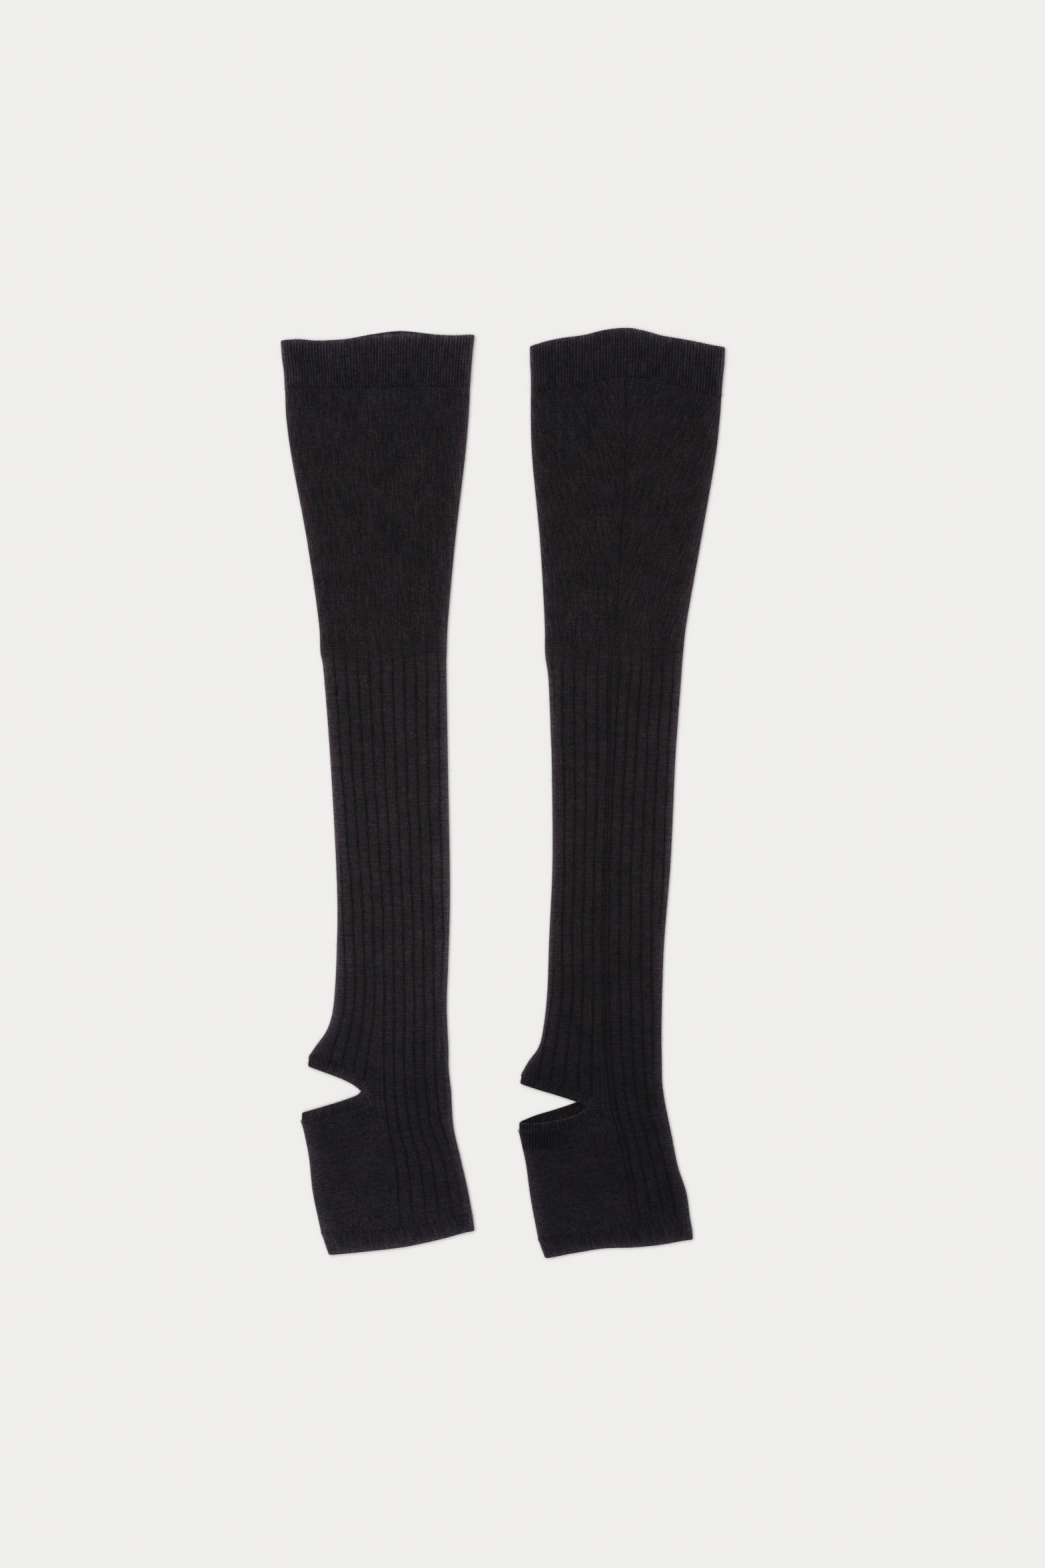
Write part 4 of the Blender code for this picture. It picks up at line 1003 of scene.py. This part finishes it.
# Painted shade beside the band's seam and between the ladder's stitches
BAND_SHADES = (0.0, 0.0, 0.0, 0.0, 0.0, 0.0, 0.1, 0.75, 0.75, 0.1, 0.6, 0.9, 1.0)
BAND_INSIDE = (7.0, 4.3, 2.3, 0.0)
BAND_RELIEF = 0.34
BAND_BENDS = 13                 # stations round a fold
BAND_CLEAR = 0.2                # beyond the fold, where the stations of an edge start
BAND_MIDDLE = 3.5               # offset that the ribs are counted along
BAND_GROOVE = 4.3               # offset that the seam's stitches reach in to
SOFTEN_REACH = 9                # stations on either side
LADDER_REACH = 16.0             # the painted shade between the ladder of stitches, and in the hollow, is strongest this near to the tip


def band_stations(sock):
    """The band's way round the opening: layer, index on its edge, or angle on the fold."""
    stations = []
    bends = np.radians(np.linspace(90.0, -90.0, BAND_BENDS))
    for half, turn in (("upper", 1), ("lower", -1)):
        near, far = (edge_stations(sock, layer + half) for layer in ("near_", "far_"))
        fold = [(("near_" if bend >= 0.0 else "far_") + half, 0, bend) for bend in bends]
        way = (near[::-1] + fold + far)[::turn]
        stations += way if turn > 0 else way[1:-1]
    return stations


def edge_stations(sock, which):
    """The stations on one edge of the opening, from just beyond the fold to its tip."""
    edge = notch_edge(sock, which, 0.0)
    first = int(np.searchsorted(run_lengths(edge), fold_radius(BAND_WALL) + BAND_CLEAR))
    return [(which, place, None) for place in range(first, len(edge))]


def make_heel_band(sock):
    """The band that binds the open heel: its section carried once round the opening."""
    stations = band_stations(sock)
    offsets = BAND_OFFSETS + BAND_INSIDE
    lifts = BAND_LIFTS + (None,) * len(BAND_INSIDE)
    edges = {(which, offset): notch_edge(sock, which, offset)
             for which in OPENING_EDGES for offset in set(offsets)}
    grid = np.array([[band_point(sock, station, edges[(station[0], offset)], lift)
                      for offset, lift in zip(offsets, lifts)] for station in stations])
    line = grid[:, BAND_OFFSETS.index(BAND_MIDDLE)].copy()
    phase = band_phase(sock, stations, line)
    strength = softened(np.array([sock.band_ribs[station[0]] for station in stations]))
    profile = strength * ridge(phase) ** 1.3
    towards = np.where(line[:, 2] > fold_radius(BAND_WALL), -1.0, 1.0)
    grid[:, 1:len(BAND_OFFSETS) - 1, 2] += (towards * BAND_RELIEF * profile)[:, None]
    grid[..., 2] = np.maximum(grid[..., 2], 0.0)
    cloth = Cloth()
    indices = cloth.add(grid, band_knit(sock, stations, line, phase, profile))
    cloth.skin(closed(indices))
    return build_mesh(sock.name + "_heel_band_knit", cloth, sock), band_seam(grid)


def band_knit(sock, stations, line, phase, profile):
    """Knit coordinates of the band: painted shade in its grooves and its ladder, and a painted
    shadow in its hollow.
    """
    offsets = np.array(BAND_OFFSETS + BAND_INSIDE)
    # Painted shade in the band's rib grooves
    knit = stacked(phase[:, None], offsets / PLAIN_COURSE - PLAIN_PLACE, 0.9 * profile[:, None])
    tip = np.array(sock.near_lower[-1])
    closeness = np.exp(-np.linalg.norm(line[:, :2] - tip, axis=1) / LADDER_REACH)[:, None]
    # Painted shade by the seam and in the holes of the ladder, strongest near the tip
    outside = knit[:, :len(BAND_OFFSETS), 2]
    outside[:] = np.maximum(outside, (0.52 + 0.7 * closeness) * np.array(BAND_SHADES))
    far = np.array([station[0].startswith("far") for station in stations])[:, None]
    # Painted shadow in the far band's hollow, under the right sock's near layer
    hollow = [0, 1, *range(len(BAND_OFFSETS), len(offsets))]
    knit[:, hollow, 2] += sock.gather * far * (0.6 + 0.7 * closeness)
    knit[..., 2] = np.clip(knit[..., 2], 0.0, 1.4)
    return knit


def band_seam(grid):
    """The seam along the outer edge of the band."""
    groove = BAND_OFFSETS.index(BAND_GROOVE)
    normal = unit(grid[:, groove] - grid[:, len(BAND_OFFSETS) + 1])
    surface = grid[:, len(BAND_OFFSETS)] + normal * BAND_WALL
    across = grid[:, len(BAND_OFFSETS) - 1] - grid[:, groove]
    across -= normal * np.sum(across * normal, axis=1)[:, None]
    return Seam(surface, normal, across, (normal[:, 2] + 1.0) * (BAND_WALL - WALL))


def softened(values):
    """Values round a ring, averaged with their neighbours."""
    ring = np.concatenate([values[-SOFTEN_REACH:], values, values[:SOFTEN_REACH]])
    count = 2 * SOFTEN_REACH + 1
    return np.convolve(ring, np.full(count, 1.0 / count), "valid")


def band_phase(sock, stations, line):
    """How many ribs each station lies on round the band, a whole number in all."""
    pitches = np.array([sock.band_pitch[station[0].split("_")[1]] for station in stations])
    steps = np.linalg.norm(np.diff(closed(line), axis=0), axis=1)
    phase = np.concatenate([[0.0], np.cumsum(steps / softened(pitches))])
    return phase[:-1] / phase[-1] * round(phase[-1])


def band_point(sock, station, edge, lift):
    """One point of the band; a lift is for the outside, and none is for the inside."""
    which, place, bend = station
    radius = fold_radius(BAND_WALL)
    if bend is None:
        x, y = edge[place]
        if which.startswith("far"):
            return (x, y, BAND_WALL if lift is None else max(0.0, -lift))
        distance = max(radius, math.hypot(x - edge[0][0], y - edge[0][1]))
        soft = crease_height(sock, x, y) * smoothstep((distance - radius) / FOLD_FADE)
        height = near_height(BAND_WALL, distance) + soft
        return (x, y, height - BAND_WALL if lift is None else height + lift)
    reach = radius - BAND_WALL if lift is None else radius + min(0.0, lift)
    x, y = along(edge, radius - reach * math.cos(bend))
    return (x, y, radius + reach * math.sin(bend))


# Stitches

STITCH_WANDER = 0.4             # share of the pitch
STITCH_SIDES = 5
STITCH_SHAPE = (                # across the seam, above the cloth, and thickness
    (-1.0, -0.3, 0.7), (-0.72, 0.06, 1.0), (-0.3, 0.16, 1.0), (0.2, 0.12, 1.0),
    (0.7, 0.0, 1.0), (1.0, -0.35, 0.7),
)
LINKING = Stitch(1.7, 0.9, 0.27, 0.9, 0.45, 1.5, 0.15)
HEMMING = Stitch(1.42, 1.05, 0.25, 0.7, 0.3, 0.2, 0.1)
BINDING = Stitch(1.5, 0.85, 0.27, 0.8, 0.0, 0.2, 0.0)
BINDING_INNER = Stitch(1.5, 0.75, 0.25, 0.7, 0.0, 0.2, -2.1)
ASIDE = (0.13, 0.21, 0.97)      # hardly any thread runs along this direction


def tube_mesh(paths, radii, sides):
    """Points and faces of many short tubes, one along each path, closed at both ends."""
    count, steps, _ = paths.shape
    ahead = unit(np.gradient(paths, axis=1))
    first = unit(np.cross(ahead, np.array(ASIDE)))
    second = np.cross(ahead, first)
    angles = np.arange(sides) / sides * TURN
    spin = (np.cos(angles)[:, None] * first[:, :, None, :]
            + np.sin(angles)[:, None] * second[:, :, None, :])
    points = paths[:, :, None, :] + spin * radii[:, :, None, None]
    index = np.arange(count * steps * sides).reshape(count, steps, sides)
    after = np.roll(index, -1, axis=2)
    quads = np.stack([index[:, :-1], after[:, :-1], after[:, 1:], index[:, 1:]], axis=-1)
    faces = quads.reshape(-1, 4).tolist()
    faces += index[:, 0, ::-1].tolist()
    faces += index[:, -1].tolist()
    return points.reshape(-1, 3), faces


def seam_bars(seam, kind, seed):
    """Paths and thicknesses of the stitches that cross one closed seam."""
    chance = np.random.default_rng(seed)
    lengths = run_lengths(closed(seam.line))
    count = round(lengths[-1] / kind.pitch)
    places = np.arange(count) + STITCH_WANDER * chance.uniform(-1.0, 1.0, count)
    places = places * lengths[-1] / count
    spot, up, way, down = (interpolated(places, lengths, closed(values)) for values in (
        seam.line, seam.normal, seam.across, seam.down[:, None]))
    up, way = unit(up), unit(way)
    side = np.cross(up, way)
    reach = kind.reach * (1.0 + kind.jitter * chance.uniform(-1.0, 1.0, count))[:, None]
    lean = (kind.slant + kind.jitter * chance.uniform(-0.5, 0.5, count))[:, None]
    paths = []
    for share, height, _ in STITCH_SHAPE:
        sink = smoothstep((share + 0.6) / 1.3) * down
        paths.append(spot + way * reach * (share + kind.shift) + side * reach * lean * share
                     + up * (height * kind.height - sink))
    paths = np.stack(paths, axis=1)
    radii = kind.radius * np.array([point[2] for point in STITCH_SHAPE])[None, :]
    radii = radii * (1.0 + 0.25 * chance.uniform(-1.0, 1.0, (count, 1)))
    paths[..., 2] = np.maximum(paths[..., 2], kind.radius)
    return paths, radii


def make_threads(sock, name, groups, material, sides):
    """One piece of many short threads: the stitches of the seams, or the loose fibres."""
    cloth = Cloth()
    for paths, radii in groups:
        points, faces = tube_mesh(paths, radii, sides)
        first = cloth.count
        each = len(points) // len(paths)
        wales = np.arange(len(points)) // each * 3.0 + 0.5      # one of its own for each thread
        cloth.add(points, stacked(wales, -PLAIN_PLACE - 0.5, 0.0))
        cloth.faces += [[first + index for index in face] for face in faces]
    piece = build_mesh(sock.name + name, cloth, sock)
    piece.data.materials.append(material)
    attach(piece, "root")


# Loose fibres

FUZZ_COUNT = 4200               # on each sock
FUZZ_LENGTHS = (0.5, 1.7)
FUZZ_RADIUS = 0.045
FUZZ_STEPS = 4
FUZZ_SIDES = 3


def surface_spots(piece, count, chance):
    """Places and outward directions spread over a piece, more of them on its sides."""
    faces = piece.data.polygons
    areas, centres, normals = (np.empty(len(faces) * size) for size in (1, 3, 3))
    for key, values in (("area", areas), ("center", centres), ("normal", normals)):
        faces.foreach_get(key, values)
    centres, normals = centres.reshape(-1, 3), normals.reshape(-1, 3)
    weights = areas * np.where(normals[:, 2] < 0.75, 9.0, 1.0) * (normals[:, 2] > -0.3)
    chosen = chance.choice(len(faces), count, p=weights / weights.sum())
    return centres[chosen] / MM, normals[chosen]


def fuzz_paths(spots, normals, chance):
    """A short curved path for each loose fibre, rising from the cloth."""
    count = len(spots)
    lengths = chance.uniform(*FUZZ_LENGTHS, (count, 1)) * chance.uniform(0.5, 1.0, (count, 1))
    start = normals * chance.uniform(0.35, 1.0, (count, 1)) + chance.normal(0.0, 0.6, (count, 3))
    bend = chance.normal(0.0, 0.7, (count, 3))
    paths = np.stack([spots + lengths * (share * start + share ** 2 * bend)
                      for share in np.arange(FUZZ_STEPS) / (FUZZ_STEPS - 1)], axis=1)
    paths[..., 2] = np.maximum(paths[..., 2], FUZZ_RADIUS)
    return paths


def make_fuzz(sock, pieces, material):
    """One piece of all a sock's loose fibres."""
    chance = np.random.default_rng(11)
    areas = np.array([sum(face.area for face in piece.data.polygons) for piece in pieces])
    counts = (FUZZ_COUNT * areas / areas.sum()).astype(int)
    radii = np.linspace(FUZZ_RADIUS, 0.3 * FUZZ_RADIUS, FUZZ_STEPS)
    groups = []
    for piece, count in zip(pieces, counts):
        spots, normals = surface_spots(piece, count, chance)
        paths = fuzz_paths(spots - table_place(sock), normals, chance)
        groups.append((paths, np.broadcast_to(radii[None, :], paths.shape[:2])))
    make_threads(sock, "_loose_fibres", groups, material, FUZZ_SIDES)


# Materials

class Value:
    """A number or colour of a material; numbers can be added, subtracted and multiplied."""

    def __init__(self, nodes, socket):
        self.nodes = nodes
        self.socket = socket

    def math(self, operation, *others):
        return self.nodes.math(operation, self, *others)

    def __add__(self, other):
        return self.math("ADD", other)

    def __sub__(self, other):
        return self.math("SUBTRACT", other)

    def __rsub__(self, other):
        return self.nodes.math("SUBTRACT", other, self)

    def __mul__(self, other):
        return self.math("MULTIPLY", other)


class Nodes:
    """Short calls for the nodes of one material."""

    def __init__(self, name):
        self.material = bpy.data.materials.new(name)
        self.material.use_nodes = True
        self.tree = self.material.node_tree
        self.tree.nodes.clear()

    def add(self, kind, inputs, **settings):
        """A node with its settings; its inputs are values, numbers or colours."""
        node = self.tree.nodes.new(kind)
        for key, setting in settings.items():
            setattr(node, key, setting)
        for key, item in inputs.items():
            if isinstance(item, Value):
                self.tree.links.new(item.socket, node.inputs[key])
            else:
                node.inputs[key].default_value = item
        return node

    def read(self, kind, output, inputs, **settings):
        """One output of a new node."""
        return Value(self, self.add(kind, inputs, **settings).outputs[output])

    def math(self, operation, *inputs):
        return self.read("ShaderNodeMath", 0, dict(enumerate(inputs)), operation=operation)

    def split(self, vector):
        """The three numbers of a vector."""
        node = self.add("ShaderNodeSeparateXYZ", {0: vector})
        return [Value(self, socket) for socket in node.outputs]

    def attribute(self, name):
        """The three numbers that the mesh holds for each point under a name."""
        return self.split(self.read("ShaderNodeAttribute", "Vector", {}, attribute_name=name))

    def place(self):
        return self.read("ShaderNodeTexCoord", "Object", {})

    def mixed(self, share, first, second, way="MIX"):
        return self.read("ShaderNodeMix", 2, {0: share, 6: first, 7: second},
                         data_type="RGBA", blend_type=way)

    def noise(self, vector, scale, detail=2.0, roughness=0.5):
        return self.read("ShaderNodeTexNoise", "Fac", {
            "Vector": vector, "Scale": scale, "Detail": detail, "Roughness": roughness})

    def stretched_noise(self, x, y, x_scale, y_scale):
        """Noise over two numbers, each times its scale."""
        vector = self.read("ShaderNodeCombineXYZ", 0, {0: x * x_scale, 1: y * y_scale})
        return self.noise(vector, 1.0, 0.0)

    def ramp(self, value, stops):
        node = self.add("ShaderNodeValToRGB", {0: value})
        elements = node.color_ramp.elements
        while len(elements) < len(stops):
            elements.new(0.5)
        for element, (position, colour) in zip(elements, stops):
            element.position = position
            element.color = (*colour, 1.0)
        return Value(self, node.outputs[0])

    def finished(self, inputs):
        """The material, with a principled shader that has these inputs."""
        shader = self.read("ShaderNodeBsdfPrincipled", 0, inputs)
        self.add("ShaderNodeOutputMaterial", {0: shader})
        return self.material


def swing(turn):
    """The cosine of a value in radians, brought into the range from 0 to 1."""
    return turn.math("COSINE") * 0.5 + 0.5


def waves(number, strength):
    """A wave for each wale or course: 1 in its middle and 1 - strength between two."""
    return 1.0 - swing(number * TURN) * strength


def centred(value, strength):
    """A value from 0 to 1, as one round 0 times the strength."""
    return (value - 0.5) * strength


def wool_material(name, brightness):
    """Black wool knit: stitches, loose fibres, mottling, grooves darkened with painted shade and
    a painted highlight on its edges.
    """
    nodes = Nodes(name)
    wale, course, groove = nodes.attribute("knit")
    painted_edge_light, gather, tone = nodes.attribute("marks")
    place = nodes.place()
    east, north, _ = nodes.split(place)

    # The knit: 1 on a stitch and less between two
    plain = (course * -0.2).math("MAXIMUM", 0.0).math("MINIMUM", 1.0)
    wales = wale + centred(nodes.noise(place, 500.0, 1.0), 0.3)
    courses = course + centred(nodes.noise(place, 620.0, 1.0), 0.5)
    slant = centred(wales.math("FRACT"), 0.9).math("ABSOLUTE")
    stitch = waves(courses + slant, 0.7 - plain * 0.1) * waves(wales, plain * 0.16 + 0.4)
    fibre = nodes.noise(place, 2700.0, 1.0, 0.6)
    # The gathered ribs: a bump, and painted shade in their valleys
    gathers = gather * swing(east * (TURN / (GATHER_PITCH * MM)))

    # Light and dark stitches, wales and courses, less the painted shade in the gathers' valleys
    cell = nodes.read("ShaderNodeCombineXYZ", 0, {
        0: wales.math("FLOOR"), 1: courses.math("FLOOR")})
    chance = nodes.read("ShaderNodeTexWhiteNoise", "Value", {"Vector": cell},
                        noise_dimensions="3D")
    streak = nodes.stretched_noise(wales, courses, 1.3, 0.09)
    row = nodes.stretched_noise(wales, courses, 0.09, 1.3)
    shade = stitch * 0.85 + centred(chance, 0.22) + centred(streak, 0.48) * (plain + 0.25)
    shade = shade + centred(row, 0.3) * (1.15 - plain) + centred(fibre, 2.2) - gathers * 0.62
    grey = nodes.ramp(shade, ((0.05, (0.25,) * 3), (0.45, (0.85,) * 3), (0.8, (2.0,) * 3),
                              (1.0, (3.2,) * 3)))

    # Colour: the violet, blue and brown of the wool, its patches and the painted highlight on its
    # edges
    mottle = nodes.ramp(nodes.noise(place, 170.0, 1.0), (
        (0.28, (0.96, 0.94, 0.86)), (0.41, (0.92, 0.89, 1.1)), (0.5, (0.96, 0.88, 1.02)),
        (0.61, (1.08, 0.85, 1.04)), (0.76, (1.1, 0.88, 0.88))))
    zone = nodes.ramp(north * (1.0 / 0.62) + 0.5, (
        (0.0, (0.97, 1.0, 1.08)), (0.2, (0.97, 1.0, 1.08)), (0.33, (1.02, 1.0, 0.99)),
        (0.86, (1.01, 1.0, 1.0)), (0.95, (0.97, 1.0, 1.06))))
    patch = nodes.ramp(nodes.noise(place, 60.0, 3.0), (
        (0.33, (0.86, 0.88, 0.89)), (0.67, (1.15, 1.12, 1.13))))
    # Painted highlight: the cloth up to about five times lighter at its edges
    edge = nodes.ramp(painted_edge_light, ((0.0, (1.0,) * 3), (0.5, (2.3, 2.22, 2.27)),
                               (1.0, (5.4, 5.1, 5.25))))
    colour = grey
    for tint in (mottle, zone, patch, (*brightness, 1.0), edge, tone):
        colour = nodes.mixed(1.0, colour, tint, "MULTIPLY")
    # Painted shade: the grooves, seams, the band's ladder and its hollow go almost black
    deep = groove * (centred(nodes.noise(place, 230.0, 3.0, 0.65), 1.5) + 0.62)
    colour = nodes.mixed(deep.math("MINIMUM", 0.9), colour, (0.0025, 0.0022, 0.0027, 1.0))

    bump = nodes.read("ShaderNodeBump", 0, {
        "Strength": 0.9, "Distance": 0.00035, "Height": stitch + fibre * 0.9 - gathers * 1.3})
    return nodes.finished({
        "Base Color": colour, "Roughness": fibre * 0.14 + 0.84, "Specular IOR Level": 0.1,
        "Sheen Weight": 0.03, "Sheen Roughness": 0.4, "Sheen Tint": (1.0, 0.93, 0.98, 1.0),
        "Normal": bump})


def floor_material():
    """Plain pale card with a grain too fine to show as a pattern."""
    nodes = Nodes("pale_card")
    colour = nodes.mixed(nodes.noise(nodes.place(), 900.0), (0.853, 0.845, 0.828, 1.0),
                         (0.861, 0.853, 0.836, 1.0))
    return nodes.finished({"Base Color": colour, "Roughness": 0.9, "Specular IOR Level": 0.1})


# Studio

CAMERA_LENS = 85.0
SENSOR_HEIGHT = 36.0
VIEW_HEIGHT = 1.0396            # what the photograph shows from top to bottom, in metres
VIEW_MIDDLE = (0.0130, 0.0061)
CLOTH_HEIGHT = 0.003            # where VIEW_HEIGHT holds
KEY_ENERGY = 2.85
KEY_ANGLE = 62.0                # how wide the key light is, in degrees
KEY_TURN = (-4.0, -8.5, 0.0)
WORLD_STRENGTH = 0.12
FLOOR_HALF = 6.0
FLOOR_DROP = 0.0002


def add_camera():
    """The camera of the photo, straight above."""
    data = bpy.data.cameras.new("photo_camera")
    data.lens = CAMERA_LENS
    data.sensor_fit = "VERTICAL"
    data.sensor_height = SENSOR_HEIGHT
    data.clip_end = 50.0
    camera = bpy.data.objects.new("photo_camera", data)
    distance = VIEW_HEIGHT * CAMERA_LENS / SENSOR_HEIGHT
    camera.location = (*VIEW_MIDDLE, distance + CLOTH_HEIGHT)
    bpy.context.scene.collection.objects.link(camera)
    bpy.context.scene.camera = camera


def add_lights():
    """A wide soft key from above and a dim even surround."""
    data = bpy.data.lights.new("soft_key", "SUN")
    data.energy = KEY_ENERGY
    data.angle = math.radians(KEY_ANGLE)
    key = bpy.data.objects.new("soft_key", data)
    key.rotation_euler = [math.radians(turn) for turn in KEY_TURN]
    bpy.context.scene.collection.objects.link(key)
    world = bpy.data.worlds.new("studio")
    world.use_nodes = True
    background = world.node_tree.nodes["Background"]
    background.inputs["Color"].default_value = (1.0, 1.0, 1.0, 1.0)
    background.inputs["Strength"].default_value = WORLD_STRENGTH
    bpy.context.scene.world = world
    bpy.context.scene.view_settings.view_transform = "Standard"


def add_floor():
    """One flat square just under the socks."""
    mesh = bpy.data.meshes.new("floor")
    ends = (-FLOOR_HALF, FLOOR_HALF)
    mesh.from_pydata([(x, y, -FLOOR_DROP) for y in ends for x in ends], [], [(0, 1, 3, 2)])
    floor = bpy.data.objects.new("floor", mesh)
    mesh.materials.append(floor_material())
    bpy.context.scene.collection.objects.link(floor)


def place_piece(piece, node, material):
    piece.data.materials.append(material)
    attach(piece, "root")
    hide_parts(node)


def make_sock(sock, material):
    """All of one sock: its four knitted pieces, its stitches and its loose fibres."""
    gap = SEAM_GAP / 2.0
    leg = make_leg(sock, lambda x: curve_at(sock.welt_seam, x) - gap,
                   lambda x: curve_at(sock.toe_seam, x) + gap)
    welt, welt_seam = short_tube(sock, "_welt_knit", WELT, sock.welt_sides,
                                 [(x, y + gap) for x, y in sock.welt_seam],
                                 sock.welt_near, sock.welt_far)
    band, band_line = make_heel_band(sock)
    hem, hem_seam = short_tube(sock, "_toe_hem_knit", HEM, sock.toe_sides,
                               [(x, y - gap) for x, y in sock.toe_seam],
                               sock.toe_edge, sock.toe_edge)
    place_piece(leg, sock.name + "_leg", material)
    place_piece(welt, sock.name + "_welt", material)
    place_piece(band, sock.name + "_heel_band", material)
    place_piece(hem, sock.name + "_toe_hem", material)
    groups = [seam_bars(welt_seam, LINKING, 1), seam_bars(hem_seam, HEMMING, 2),
              seam_bars(band_line, BINDING, 3), seam_bars(band_line, BINDING_INNER, 4)]
    make_threads(sock, "_seam_stitches", groups, material, STITCH_SIDES)
    make_fuzz(sock, (leg, welt, band, hem), material)


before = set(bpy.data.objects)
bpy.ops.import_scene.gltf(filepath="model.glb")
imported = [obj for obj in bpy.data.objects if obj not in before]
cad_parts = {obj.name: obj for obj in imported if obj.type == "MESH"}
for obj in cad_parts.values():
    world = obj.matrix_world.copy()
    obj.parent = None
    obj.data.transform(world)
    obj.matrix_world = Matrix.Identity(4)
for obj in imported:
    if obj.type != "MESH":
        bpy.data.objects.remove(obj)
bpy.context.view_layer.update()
add_camera()
add_lights()
add_floor()
wool = wool_material("black_wool", (0.0152, 0.0142, 0.0145))
for each in (LEFT_SOCK, RIGHT_SOCK):
    make_sock(each, wool)
